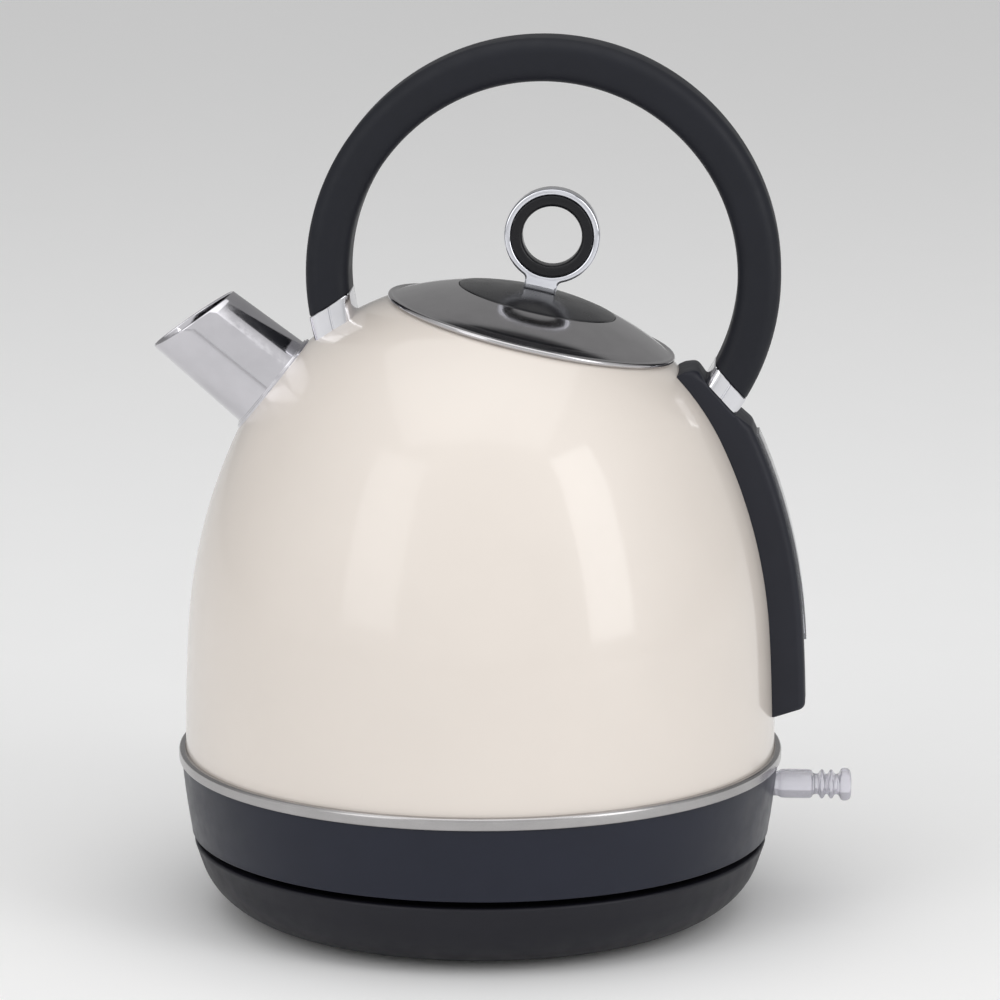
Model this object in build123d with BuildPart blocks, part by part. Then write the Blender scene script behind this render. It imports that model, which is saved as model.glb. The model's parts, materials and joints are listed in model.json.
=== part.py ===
from build123d import *
from math import acos, asin, atan2, cos, degrees, hypot, radians, sin, sqrt, tan
import os

os.makedirs("parts", exist_ok=True)

# Electric dome kettle on its power base.
# Millimetres. +Z is up, the origin is on the dome's upright axis where the base stands,
# the spout points towards -X and the switch, the gauge and the spine are on the +X side.

# ---------------------------------------------------------------- driving sizes
# Clearances
fixed_gap = 0.05          # between pieces that are fixed to each other
moving_gap = 0.5          # between curved faces that move past each other
pin_gap = 0.05            # radial, a pivot pin in its bore

# Power base
foot_height = 1.2
foot_radius = 56.0
foot_width = 6.0
foot_groove = 0.8
base_height = 23.2
base_step_in = 0.5        # the base's rim is this much smaller than the jug's foot
base_draft = 19.0         # degrees from upright
base_corner_radius = 22.0
base_wall = 2.4
base_rim_width = 3.2
deck_drop = 1.5
bottom_cover_thickness = 2.0
base_screw_circle = 44.0

# Jug foot
rest_gap = 2.3            # shadow gap between base and jug
collar_height = 22.9
collar_proud = 1.21       # the collar's top edge stands this much outside the body
collar_taper = 2.84
collar_bow = 0.25
collar_wall = 2.4
collar_flange = 2.2
collar_flange_width = 10.0
band_height = 3.9
band_proud = 2.21
band_edge = 0.7
underside_thickness = 2.0
underside_rise = 2.1      # underside cover above the collar's lower edge
landing_radius = 72.0
landing_width = 4.0
underside_screw_inset = 8.5

# Jug body: three tangent arcs
body_radius = 92.79
body_straight = 3.34
side_radius = 639.0
side_turn = 3.495         # degrees
shoulder_radius = 165.75
shoulder_turn = 21.085    # degrees
body_wall = 1.0
floor_thickness = 1.2

# Heater and control
spreader_radius = 62.0
spreader_thickness = 3.0
element_ring_radius = 44.0
element_radius = 3.6
element_turn = 300.0      # degrees
element_pin_radius = 1.8
element_pin_length = 9.0
control_radius = 30.0
control_height = 10.0
steam_tube_radius = 4.0
steam_tube_wall = 0.6
steam_tube_inset = 22.8
steam_tube_angle = 35.0   # degrees from +X
steam_tube_drop = 12.0    # the tube's top below the dome's inner face
thermostat_width = 18.0
thermostat_height = 8.6
disc_radius = 7.0
disc_thickness = 0.8

# Cordless connector
boss_radius = 15.5
boss_height = 9.8         # above the deck
connector_slack = 1.1
live_pin_radius = 2.2
neutral_ring_radius = 8.0
earth_ring_radius = 12.0
ring_wall = 0.8
slot_slack = 0.6
shutter_wall = 2.4
contact_length = 12.0
contact_width = 4.0
contact_sheet = 0.6
contact_rise = 3.0

# Lid
lid_tilt = 12.68          # degrees towards +X
lid_circle_radius = 44.15
lid_overhang = 1.53
lid_bead_radius = 0.88
lid_lift = 0.35           # lid cover above the dome's surface
lid_thickness = 0.7
lid_radius = 94.0         # the cover's outer face is a little flatter than the dome
lid_opening_inset = 0.75
lid_seat_wall = 1.15
lid_seat_depth = 8.0
lid_seat_drop = 0.3
liner_thickness = 0.8
liner_depth = 9.0
liner_wall = 1.2
gasket_thickness = 1.7
gasket_height = 2.0
cap_radius = 24.8         # dark disc let into the cover
cap_thickness = 1.85
cap_proud = 0.15

# Knob
knob_height = 29.8        # ring centre above the lid's rim plane
knob_ring_radius = 14.8
knob_insert_radius = 12.7
knob_hole_radius = 9.2
knob_thickness = 7.0
knob_neck_width = 10.2
knob_screw_radius = 1.9

# Hoop handle
hoop_rise = 17.8          # hoop centre above the lid's rim plane
hoop_inner_radius = 60.0
hoop_depth = 13.4
hoop_width = 22.0
hoop_corner = 4.5
front_sleeve_height = 6.3  # above the dome, square to it
rear_seat_height = 4.6    # the spine's seat above the dome
rear_sleeve_height = 5.7
rear_seat_turn = 9.9      # degrees the seat leans from the dome's surface
sleeve_proud = 0.1
core_depth = 6.0
core_width = 12.0
core_corner = 1.5
core_front_inset = 2.4    # degrees of hoop between the core's end and the dome
nut_radius = 3.4
nut_height = 2.6
core_rear_inset = 1.5     # degrees of hoop between the core's end and the seat

# Spout
spout_elevation = 38.79   # degrees
spout_root_radius = 16.0
spout_tip_radius = 14.6
spout_reach = 30.6
spout_cut_angle = 16.6    # degrees the mouth leans back
spout_wall = 0.9
spout_tuck = 4.0          # the tube's root runs this far inside the dome
flange_lip = 1.45
flange_height = 1.4
filter_flange = 1.6
filter_depth = 7.5
filter_wall = 1.8
mesh_thickness = 0.5
mesh_hole_radius = 0.8
mesh_pitch = 1.35

# Spine and gauge
spine_depth = 9.6
spine_width = 23.0
spine_wall = 2.2
spine_foot_z = 64.2
spine_foot_lift = 2.4     # the foot's outer edge is this much higher
spine_shoulder_turn = 3.4 # degrees below the seat's outer corner
spine_lip_angle = 41.2    # degrees, seen from the crown's centre
spine_lip_height = 5.2
spine_tail_angle = 42.6
spine_tail_height = 2.0
gauge_bottom_z = 88.0
gauge_top_z = 153.0
gauge_width = 12.0
gauge_proud = 1.0
gauge_stem_width = 8.0
gauge_slot_width = 5.0
gauge_slot_length = 44.0
gasket_sheet = 1.0

# Switch
lever_z = 40.0
lever_pivot_inset = 14.0  # pivot inside the collar's top edge
lever_width = 12.0
lever_block_height = 9.2
lever_block_length = 11.0
lever_stem_height = 5.5
lever_rib_height = 8.8
lever_rib_thickness = 1.4
lever_cap_height = 10.0
lever_cap_length = 3.5
lever_reach = 23.2        # from the collar's edge to the lever's tip
lever_travel = 10.0       # degrees
pivot_pin_radius = 1.5
peg_arm = 10.0
peg_radius = 1.2
lever_hub_radius = 4.2
rocker_hub_radius = 3.6
arm_height = 6.4
lamp_radius = 1.9
lamp_length = 11.0
bracket_wall = 2.0

# Cord gland
gland_z = 13.6
gland_bore_radius = 3.0
gland_wall = 1.4
gland_flange = 0.9
gland_length = 15.0
clamp_reach = 63.0        # cord clamp's distance from the axis
clamp_length = 22.0
clamp_width = 6.0
clamp_thickness = 2.8
clamp_screw_spread = 8.0

# Screws
screw_radius = 1.5
screw_head_radius = 2.9
screw_head_height = 1.2
screw_post_radius = 3.6
base_post_radius = 4.0
clamp_post_radius = 2.6
long_screw = 11.0
clamp_screw_length = 8.0

# ---------------------------------------------------------------- derived places
collar_foot_z = base_height + rest_gap
collar_top_z = collar_foot_z + collar_height
collar_top_radius = body_radius + collar_proud
collar_foot_radius = collar_top_radius - collar_taper
band_radius = body_radius + band_proud
body_tangent_z = collar_top_z + body_straight
floor_top_z = collar_top_z + floor_thickness
spreader_foot_z = collar_top_z - spreader_thickness
underside_z = collar_foot_z + underside_rise
underside_top_z = underside_z + underside_thickness

# The side, shoulder and crown arcs of the dome share their tangents.
crown_start = side_turn + shoulder_turn
side_centre = (body_radius - side_radius, body_tangent_z)
shoulder_centre = (
    side_centre[0] + (side_radius - shoulder_radius) * cos(radians(side_turn)),
    side_centre[1] + (side_radius - shoulder_radius) * sin(radians(side_turn)),
)
crown_radius = shoulder_centre[0] / cos(radians(crown_start)) + shoulder_radius
crown_z = shoulder_centre[1] + (shoulder_radius - crown_radius) * sin(radians(crown_start))
crown_centre = Vector(0, 0, crown_z)

# Base rim, and the centre of its rounded lower corner
base_rim_radius = collar_foot_radius - base_step_in
deck_z = base_height - deck_drop
draft = radians(base_draft)
base_corner_z = foot_height + base_corner_radius
base_corner_x = (
    base_rim_radius
    - base_corner_radius * cos(draft)
    - tan(draft) * (base_height - base_corner_z + base_corner_radius * sin(draft))
)
bottom_cover_radius = base_corner_x - 1.4

# Lid: its rim plane cuts the crown in the lid circle.
tilt = radians(lid_tilt)
lid_axis = Vector(sin(tilt), 0, cos(tilt))
lid_rise = sqrt(crown_radius**2 - lid_circle_radius**2)
lid_origin = crown_centre + lid_axis * lid_rise
lid_plane = Plane(origin=lid_origin, x_dir=(cos(tilt), 0, -sin(tilt)), z_dir=lid_axis)
lid_profile = Plane(origin=lid_origin, x_dir=(cos(tilt), 0, -sin(tilt)), z_dir=(0, -1, 0))
lid_rim_radius = lid_circle_radius + lid_overhang
lid_opening_radius = lid_circle_radius - lid_opening_inset
seat_bore_radius = lid_opening_radius - fixed_gap - lid_seat_wall
cover_rim = lid_rim_radius - lid_bead_radius
cover_rim_height = (
    sqrt((crown_radius + lid_lift + lid_thickness) ** 2 - cover_rim**2) - lid_rise
)
cover_drop = sqrt(lid_radius**2 - cover_rim**2) - cover_rim_height
cap_outer = lid_radius + cap_proud
cap_seat = cap_outer - cap_thickness
liner_skirt_radius = seat_bore_radius - moving_gap - gasket_thickness

# Hoop: where its middle circle meets the dome, as an angle from the lid's axis
hoop_centre = lid_origin + lid_axis * hoop_rise
hoop_mid_radius = hoop_inner_radius + hoop_depth / 2
hoop_outer_radius = hoop_inner_radius + hoop_depth
hoop_top_angle = 90 - lid_tilt
hoop_offset = lid_rise + hoop_rise
hoop_meet = degrees(
    acos(
        (crown_radius**2 - hoop_offset**2 - hoop_mid_radius**2)
        / (2 * hoop_offset * hoop_mid_radius)
    )
)
meet_turn = degrees(
    asin(hoop_mid_radius * sin(radians(hoop_meet)) / crown_radius)
)


def hoop_crossing(turn, rise):
    """The hoop's angle where its middle circle meets a plane over the dome."""
    reach = crown_radius + rise - hoop_offset * cos(radians(turn))
    return turn + degrees(acos(reach / hoop_mid_radius))


def end_plane(turn, rise):
    """A plane over the dome, its normal turned from the lid's axis towards -X."""
    lean = radians(hoop_top_angle + turn)
    normal = Vector(cos(lean), 0, sin(lean))
    return Plane(
        origin=crown_centre + normal * (crown_radius + rise), x_dir=(0, 1, 0), z_dir=normal
    )


seat_turn = meet_turn - rear_seat_turn
front_end = end_plane(meet_turn, front_sleeve_height)
rear_end = end_plane(-seat_turn, rear_seat_height + rear_sleeve_height)
rear_seat = end_plane(-seat_turn, rear_seat_height)
seat_half = hoop_crossing(seat_turn, rear_seat_height)

# Spout axis, measured from the crown's centre
elevation = radians(spout_elevation)
spout_axis = Vector(-cos(elevation), 0, sin(elevation))
spout_plane = Plane(origin=crown_centre, x_dir=(0, 1, 0), z_dir=spout_axis)
spout_profile = Plane(
    origin=crown_centre, x_dir=(sin(elevation), 0, cos(elevation)), z_dir=(0, -1, 0)
)
spout_root = crown_radius - spout_tuck
spout_mouth = crown_radius + spout_reach

# Switch
pivot_x = collar_top_radius - lever_pivot_inset
rocker_x = pivot_x - 2 * peg_arm


# ---------------------------------------------------------------- shared shapes
def rod(plane, radius, start, end, mode=Mode.ADD):
    """A round bar along the plane's normal."""
    with BuildSketch(plane.offset(start)) as section:
        Circle(radius)
    extrude(section.sketch, amount=end - start, mode=mode)


def ring(plane, inner, outer, start, end, mode=Mode.ADD):
    """A straight-sided ring along the plane's normal."""
    with BuildSketch(plane.offset(start)) as section:
        Circle(outer)
        Circle(inner, mode=Mode.SUBTRACT)
    extrude(section.sketch, amount=end - start, mode=mode)


def turned(profile, points, mode=Mode.ADD):
    """A turned piece: (radius, height) points spun about the profile plane's own Y."""
    with BuildSketch(profile) as section:
        with BuildLine():
            Polyline(*points, close=True)
        make_face()
    revolve(section.sketch, axis=Axis(profile.origin, profile.y_dir), mode=mode)


def dome_arcs(inset, end_angle):
    """The dome's outline from its foot to end_angle, set in from the outer face."""
    CenterArc(side_centre, side_radius - inset, 0, side_turn)
    CenterArc(shoulder_centre, shoulder_radius - inset, side_turn, shoulder_turn)
    CenterArc((0, crown_z), crown_radius - inset, crown_start, end_angle - crown_start)


def dome_solid(inset, bottom_z, mode=Mode.ADD):
    """The whole dome, set in from its outer face and closed at bottom_z."""
    with BuildSketch(Plane.XZ) as section:
        with BuildLine():
            dome_arcs(inset, 90)
            Polyline(
                (0, crown_z + crown_radius - inset),
                (0, bottom_z),
                (body_radius - inset, bottom_z),
                (body_radius - inset, body_tangent_z),
            )
        make_face()
    revolve(section.sketch, axis=Axis.Z, mode=mode)


def crown_ball(radius, mode=Mode.SUBTRACT):
    """A ball about the crown's centre."""
    with Locations(crown_centre):
        Sphere(radius, mode=mode)


def lid_ball(radius, mode=Mode.SUBTRACT):
    """A ball about the centre of the lid cover's curve."""
    with Locations(lid_origin - lid_axis * cover_drop):
        Sphere(radius, mode=mode)


def crown_cap(inner, outer, half_width, mode=Mode.ADD):
    """A round sheet that follows the lid cover's curve, half_width in radius."""
    start_outer = degrees(acos(half_width / outer))
    start_inner = degrees(acos(half_width / inner))
    with BuildSketch(lid_profile) as section:
        with BuildLine():
            upper = CenterArc((0, -cover_drop), outer, start_outer, 90 - start_outer)
            lower = CenterArc((0, -cover_drop), inner, start_inner, 90 - start_inner)
            Line(upper @ 1, lower @ 1)
            Line(upper @ 0, lower @ 0)
        make_face()
    revolve(section.sketch, axis=Axis(lid_origin, lid_axis), mode=mode)


def hoop_point(radius, angle):
    """A point of the hoop's plane, its angle counted from the lid's axis towards -X."""
    turn = radians(hoop_top_angle + angle)
    return hoop_centre + Vector(cos(turn), 0, sin(turn)) * radius


def hoop_bar(start, end, depth, width, corner, mode=Mode.ADD):
    """A bent bar of the hoop, from one angle down to a smaller one."""
    turn = radians(hoop_top_angle + start)
    section_plane = Plane(
        origin=hoop_centre, x_dir=(cos(turn), 0, sin(turn)), z_dir=(-sin(turn), 0, cos(turn))
    )
    with BuildSketch(section_plane) as section:
        with Locations((hoop_mid_radius, 0)):
            RectangleRounded(depth, width, corner)
    revolve(
        section.sketch,
        axis=Axis(hoop_centre, (0, 1, 0)),
        revolution_arc=start - end,
        mode=mode,
    )


def core_bar(slack, mode=Mode.ADD):
    """The steel core of the hoop, or the cavity that it lies in."""
    hoop_bar(
        hoop_meet - core_front_inset,
        -seat_half + core_rear_inset,
        core_depth + 2 * slack,
        core_width + 2 * slack,
        core_corner,
        mode,
    )


def cut_block(plane, above):
    """Takes away what lies above or below a plane, near the hoop's end."""
    reach = 2 * hoop_width
    side = Align.MIN if above else Align.MAX
    with Locations(Location(plane)):
        with Locations(plane_centre(plane)):
            Box(reach, reach, reach, align=(Align.CENTER, Align.CENTER, side), mode=Mode.SUBTRACT)


def plane_centre(plane):
    """Where the hoop's middle circle crosses an end plane, in the plane's own X and Y."""
    front = plane.z_dir.X < 0
    turn = meet_turn if front else -seat_turn
    rise = (plane.origin - crown_centre).length - crown_radius
    angle = hoop_crossing(abs(turn), rise) * (1 if front else -1)
    spot = plane.to_local_coords(hoop_point(hoop_mid_radius, angle))
    return (spot.X, spot.Y, 0)


def spine_block(rise_from, rise_to, bottom_z, top_z, width, mode=Mode.ADD):
    """A bar of the spine between two heights above the dome, from bottom_z to top_z."""
    with BuildSketch(Plane.XZ) as section:
        with BuildLine():
            dome_arcs(-rise_to, 60)
            dome_arcs(-rise_from, 60)
            Line(crown_point(60, rise_to), crown_point(60, rise_from))
            Line(
                (body_radius + rise_to, body_tangent_z),
                (body_radius + rise_from, body_tangent_z),
            )
        make_face()
        with Locations((body_radius, (bottom_z + top_z) / 2)):
            Rectangle(2 * body_radius, top_z - bottom_z, mode=Mode.INTERSECT)
    extrude(section.sketch, amount=width / 2, both=True, mode=mode)


def crown_point(angle, rise):
    """A point of the XZ plane, rise above the crown, angle above its horizontal."""
    reach = crown_radius + rise
    return (reach * cos(radians(angle)), crown_z + reach * sin(radians(angle)))


def screws(plane, places, length, hole=False):
    """Countersunk-flat screws whose heads lie on the plane and whose shanks run up it."""
    slack = fixed_gap if hole else 0
    mode = Mode.SUBTRACT if hole else Mode.ADD
    with BuildSketch(plane) as heads:
        with Locations(*places):
            Circle(screw_head_radius + slack)
    extrude(heads.sketch, amount=screw_head_height, mode=mode)
    with BuildSketch(plane) as shanks:
        with Locations(*places):
            Circle(screw_radius + slack)
    extrude(shanks.sketch, amount=length, mode=mode)


def around(radius, count, first):
    """Points spaced evenly round a circle."""
    turns = [radians(first + 360 * i / count) for i in range(count)]
    return [(radius * cos(turn), radius * sin(turn)) for turn in turns]


base_screw_places = around(base_screw_circle, 4, 45)
clamp_screw_places = [(-clamp_screw_spread, clamp_reach), (clamp_screw_spread, clamp_reach)]
underside_screw_places = around(body_radius - underside_screw_inset, 3, 60)
clamp_foot_z = gland_z - gland_bore_radius - clamp_thickness - 0.4
clamp_screw_plane = Plane.XY.offset(clamp_foot_z - screw_head_height)

# ---------------------------------------------------------------- power base
with BuildPart() as base_housing:
    side_foot = (
        base_corner_x + base_corner_radius * cos(draft),
        base_corner_z - base_corner_radius * sin(draft),
    )
    inner_radius = base_corner_radius - base_wall
    inner_side_foot = (
        base_corner_x + inner_radius * cos(draft),
        base_corner_z - inner_radius * sin(draft),
    )
    deck_foot_z = deck_z - base_wall
    inner_side_top = (
        inner_side_foot[0] + tan(draft) * (deck_foot_z - inner_side_foot[1]),
        deck_foot_z,
    )
    with BuildSketch(Plane.XZ):
        with BuildLine():
            corner_centre = (base_corner_x, base_corner_z)
            CenterArc(corner_centre, base_corner_radius, -90, 90 - base_draft)
            Polyline(
                side_foot,
                (base_rim_radius, base_height),
                (base_rim_radius - base_rim_width, base_height),
                (base_rim_radius - base_rim_width - 0.6, deck_z),
                (boss_radius + 0.3, deck_z),
                (boss_radius + 0.3, deck_foot_z),
                inner_side_top,
                inner_side_foot,
            )
            CenterArc(corner_centre, inner_radius, -90, 90 - base_draft)
            Polyline(
                (base_corner_x, foot_height + base_wall),
                (bottom_cover_radius + fixed_gap, foot_height + base_wall),
                (bottom_cover_radius + fixed_gap, foot_height),
                (base_corner_x, foot_height),
            )
        make_face()
    revolve(axis=Axis.Z)
    # Screw posts under the deck
    with BuildSketch(Plane.XY.offset(foot_height + bottom_cover_thickness)):
        with Locations(*base_screw_places):
            Circle(base_post_radius)
    extrude(amount=deck_foot_z - foot_height - bottom_cover_thickness)
    with BuildSketch(Plane.XY.offset(clamp_foot_z + clamp_thickness)):
        with Locations(*clamp_screw_places):
            Circle(clamp_post_radius)
    extrude(amount=deck_foot_z - clamp_foot_z - clamp_thickness)
    screws(Plane.XY.offset(foot_height), base_screw_places, long_screw + 1, hole=True)
    screws(clamp_screw_plane, clamp_screw_places, clamp_screw_length + 1, hole=True)
    # Opening for the cord gland, on the far side
    with BuildSketch(Plane.XZ.offset(-base_rim_radius - 5)):
        with Locations((0, gland_z)):
            Circle(gland_bore_radius + gland_wall + fixed_gap)
    extrude(amount=20, mode=Mode.SUBTRACT)
    # Soft outer rim edge
    rim_edges = base_housing.edges().filter_by(GeomType.CIRCLE).group_by(Axis.Z)[-1]
    fillet(rim_edges.sort_by(SortBy.RADIUS)[-1], radius=0.8)

with BuildPart() as base_bottom_cover:
    rod(Plane.XY, bottom_cover_radius, foot_height, foot_height + bottom_cover_thickness)
    ring(
        Plane.XY,
        foot_radius - foot_width / 2,
        foot_radius + foot_width / 2,
        foot_height,
        foot_height + foot_groove,
        mode=Mode.SUBTRACT,
    )
    screws(Plane.XY.offset(foot_height), base_screw_places, long_screw + 1, hole=True)

with BuildPart() as foot_ring:
    ring(
        Plane.XY,
        foot_radius - foot_width / 2 + fixed_gap,
        foot_radius + foot_width / 2 - fixed_gap,
        0,
        foot_height + foot_groove,
    )

with BuildPart() as base_screws:
    screws(Plane.XY.offset(foot_height), base_screw_places, long_screw)

with BuildPart() as base_connector:
    boss_top_z = deck_z + boss_height
    slot_foot_z = deck_z - 1
    shutter_radius = live_pin_radius + slot_slack + shutter_wall
    flange_foot_z = deck_foot_z - 4
    rod(Plane.XY, boss_radius, flange_foot_z, boss_top_z)
    rod(Plane.XY, boss_radius + 10, flange_foot_z, deck_foot_z)
    fillet(base_connector.edges().group_by(Axis.Z)[-1], radius=1.2)
    rod(Plane.XY, shutter_radius + 0.3, slot_foot_z, boss_top_z, mode=Mode.SUBTRACT)
    for slot_radius in (neutral_ring_radius, earth_ring_radius):
        reach = ring_wall / 2 + slot_slack
        ring(
            Plane.XY,
            slot_radius - reach,
            slot_radius + reach,
            slot_foot_z,
            boss_top_z,
            mode=Mode.SUBTRACT,
        )

with BuildPart() as shutter_sleeve:
    ring(Plane.XY, live_pin_radius + slot_slack, shutter_radius, slot_foot_z, boss_top_z + 0.8)

# Spring blades that touch the pin and the two rings, led out under the connector
with BuildPart() as base_contacts:
    for turn, reach in ((90, 6.0), (210, 9.0), (330, 13.0)):
        spot = Vector(reach, 0, 0).rotate(Axis.Z, turn)
        with Locations(Location((spot.X, spot.Y, flange_foot_z - contact_rise), (0, 0, turn))):
            Box(
                contact_length,
                contact_width,
                contact_sheet,
                align=(Align.MIN, Align.CENTER, Align.MIN),
            )
            Box(
                2 * contact_sheet,
                contact_width,
                contact_rise,
                align=(Align.MIN, Align.CENTER, Align.MIN),
            )

with BuildPart() as cord_gland:
    gland_face = Plane(origin=(0, base_rim_radius, gland_z), x_dir=(1, 0, 0), z_dir=(0, -1, 0))
    rod(gland_face, gland_bore_radius + gland_wall, 0, gland_length)
    rod(
        gland_face,
        gland_bore_radius + gland_wall + gland_flange,
        gland_length - 3,
        gland_length,
    )
    rod(gland_face, gland_bore_radius, 0, gland_length, mode=Mode.SUBTRACT)

with BuildPart() as cord_clamp:
    with Locations((0, clamp_reach, clamp_foot_z)):
        Box(
            clamp_length,
            clamp_width,
            clamp_thickness,
            align=(Align.CENTER, Align.CENTER, Align.MIN),
        )
    screws(clamp_screw_plane, clamp_screw_places, clamp_screw_length + 1, hole=True)
    fillet(cord_clamp.edges().filter_by(Axis.Z).filter_by(GeomType.LINE), radius=1.2)

with BuildPart() as clamp_screws:
    screws(clamp_screw_plane, clamp_screw_places, clamp_screw_length)

# ---------------------------------------------------------------- jug foot
with BuildPart() as lower_collar:
    inner_top_z = collar_top_z - collar_flange
    flange_inner = body_radius - collar_flange_width
    with BuildSketch(Plane.XZ):
        with BuildLine():
            middle = (
                (collar_foot_radius + collar_top_radius) / 2 + collar_bow,
                (collar_foot_z + collar_top_z) / 2,
            )
            ThreePointArc(
                (collar_foot_radius, collar_foot_z), middle, (collar_top_radius, collar_top_z)
            )
            Polyline(
                (collar_top_radius, collar_top_z),
                (flange_inner, collar_top_z),
                (flange_inner, inner_top_z),
                (collar_top_radius - collar_wall - 0.3, inner_top_z),
                (collar_foot_radius - collar_wall, collar_foot_z),
                (collar_foot_radius, collar_foot_z),
            )
        make_face()
    revolve(axis=Axis.Z)
    # Posts for the underside screws
    with BuildSketch(Plane.XY.offset(underside_top_z)):
        with Locations(*underside_screw_places):
            Circle(screw_post_radius)
    extrude(amount=inner_top_z - underside_top_z)
    screws(Plane.XY.offset(underside_z), underside_screw_places, long_screw + 1, hole=True)
    # Slot for the switch lever
    slot_drop = lever_pivot_inset * sin(radians(lever_travel)) + moving_gap
    with Locations((collar_top_radius, 0, lever_z + lever_block_height / 2 + moving_gap)):
        Box(
            12,
            lever_width + 2 * moving_gap,
            lever_block_height + 2 * moving_gap + slot_drop,
            align=(Align.CENTER, Align.CENTER, Align.MAX),
            mode=Mode.SUBTRACT,
        )

with BuildPart() as trim_band:
    ring(
        Plane.XY,
        body_radius + fixed_gap,
        band_radius,
        collar_top_z,
        collar_top_z + band_height,
    )
    outer_edges = trim_band.edges().filter_by(GeomType.CIRCLE).sort_by(SortBy.RADIUS)[-2:]
    fillet(outer_edges, radius=band_edge)

with BuildPart() as underside_cover:
    rod(
        Plane.XY,
        collar_foot_radius - collar_wall - 0.2,
        underside_z,
        underside_top_z,
    )
    ring(
        Plane.XY,
        landing_radius - landing_width / 2,
        landing_radius + landing_width / 2,
        deck_z,
        underside_z,
    )
    cup_radius = boss_radius + connector_slack + 4.4
    rod(Plane.XY, cup_radius + fixed_gap, deck_z, underside_top_z + 1, mode=Mode.SUBTRACT)
    screws(Plane.XY.offset(underside_z), underside_screw_places, long_screw + 1, hole=True)

with BuildPart() as underside_screws:
    screws(Plane.XY.offset(underside_z), underside_screw_places, long_screw)

# ---------------------------------------------------------------- heater and control
control_foot_z = spreader_foot_z - control_height
cup_roof_z = boss_top_z + 2.1

with BuildPart() as heat_spreader:
    rod(Plane.XY, spreader_radius, spreader_foot_z, collar_top_z)

with BuildPart() as heating_element:
    element_z = spreader_foot_z - element_radius
    first_turn = (360 - element_turn) / 2
    with BuildLine(Plane.XY.offset(element_z)) as element_path:
        CenterArc((0, 0), element_ring_radius, first_turn, element_turn)
    element_start = element_path.line @ 0
    with BuildSketch(Plane(origin=element_start, z_dir=element_path.line % 0)):
        Circle(element_radius)
    sweep(path=element_path.line)

with BuildPart() as element_pins:
    for end, sense in ((0, -1), (1, 1)):
        pin_plane = Plane(
            origin=element_path.line @ end, z_dir=(element_path.line % end) * sense
        )
        rod(pin_plane, element_pin_radius, 0, element_pin_length)

with BuildPart() as control_unit:
    rod(Plane.XY, control_radius, control_foot_z, spreader_foot_z)
    with BuildSketch(Plane.XY.offset(control_foot_z)):
        with PolarLocations(control_radius, 4, 45):
            Rectangle(8, 10)
    extrude(amount=4)
    fillet(control_unit.edges().group_by(Axis.Z)[0], radius=0.6)

with BuildPart() as jug_connector:
    rod(Plane.XY, cup_radius, collar_foot_z + 0.2, control_foot_z)
    rod(
        Plane.XY,
        boss_radius + connector_slack,
        collar_foot_z,
        cup_roof_z,
        mode=Mode.SUBTRACT,
    )

with BuildPart() as live_pin:
    rod(Plane.XY, live_pin_radius, deck_z + 1.2, cup_roof_z)
    fillet(live_pin.edges().group_by(Axis.Z)[0], radius=1.2)

with BuildPart() as neutral_ring:
    ring(
        Plane.XY,
        neutral_ring_radius - ring_wall / 2,
        neutral_ring_radius + ring_wall / 2,
        deck_z + 2,
        cup_roof_z,
    )

with BuildPart() as earth_ring:
    ring(
        Plane.XY,
        earth_ring_radius - ring_wall / 2,
        earth_ring_radius + ring_wall / 2,
        deck_z + 2,
        cup_roof_z,
    )

steam_radius = body_radius - steam_tube_inset
steam_place = Vector(steam_radius, 0, 0).rotate(Axis.Z, steam_tube_angle)
steam_plane = Plane(origin=(steam_place.X, steam_place.Y, 0))
thermostat_top_z = underside_top_z + thermostat_height

with BuildPart() as floor_plate:
    rod(Plane.XY, body_radius - body_wall - fixed_gap, collar_top_z, floor_top_z)
    rod(
        steam_plane,
        steam_tube_radius + fixed_gap,
        collar_top_z,
        floor_top_z,
        mode=Mode.SUBTRACT,
    )

with BuildPart() as steam_tube:
    reach = steam_radius + steam_tube_radius
    steam_top_z = crown_z + sqrt((crown_radius - body_wall) ** 2 - reach**2) - steam_tube_drop
    ring(
        steam_plane,
        steam_tube_radius - steam_tube_wall,
        steam_tube_radius,
        thermostat_top_z + 2.4,
        steam_top_z,
    )

with BuildPart() as steam_thermostat:
    with BuildSketch(steam_plane.offset(underside_top_z)):
        RectangleRounded(thermostat_width, thermostat_width, 2)
    extrude(amount=thermostat_top_z - underside_top_z)

with BuildPart() as bimetal_disc:
    rod(steam_plane, disc_radius, thermostat_top_z, thermostat_top_z + disc_thickness)

# ---------------------------------------------------------------- switch
with BuildPart() as switch_bracket:
    bracket_low_x = rocker_x - 6
    bracket_high_x = pivot_x + 4.5
    side_inner = lever_width / 2 + 0.6
    bracket_width = 2 * (side_inner + bracket_wall)
    with Locations((bracket_low_x, 0, underside_top_z)):
        Box(
            bracket_high_x - bracket_low_x,
            bracket_width,
            lever_z + 3.5 - underside_top_z,
            align=(Align.MIN, Align.CENTER, Align.MIN),
        )
    with Locations((bracket_low_x, 0, underside_top_z + bracket_wall)):
        Box(
            bracket_high_x - bracket_low_x,
            2 * side_inner,
            lever_z,
            align=(Align.MIN, Align.CENTER, Align.MIN),
            mode=Mode.SUBTRACT,
        )
    with BuildSketch(Plane.XZ.offset(-bracket_width)):
        with Locations((rocker_x, lever_z), (pivot_x, lever_z)):
            Circle(pivot_pin_radius + fixed_gap)
    extrude(amount=2 * bracket_width, mode=Mode.SUBTRACT)

with BuildPart() as pivot_pins:
    with BuildSketch(Plane.XZ.offset(-bracket_width / 2)):
        with Locations((rocker_x, lever_z), (pivot_x, lever_z)):
            Circle(pivot_pin_radius)
    extrude(amount=bracket_width)

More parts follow.
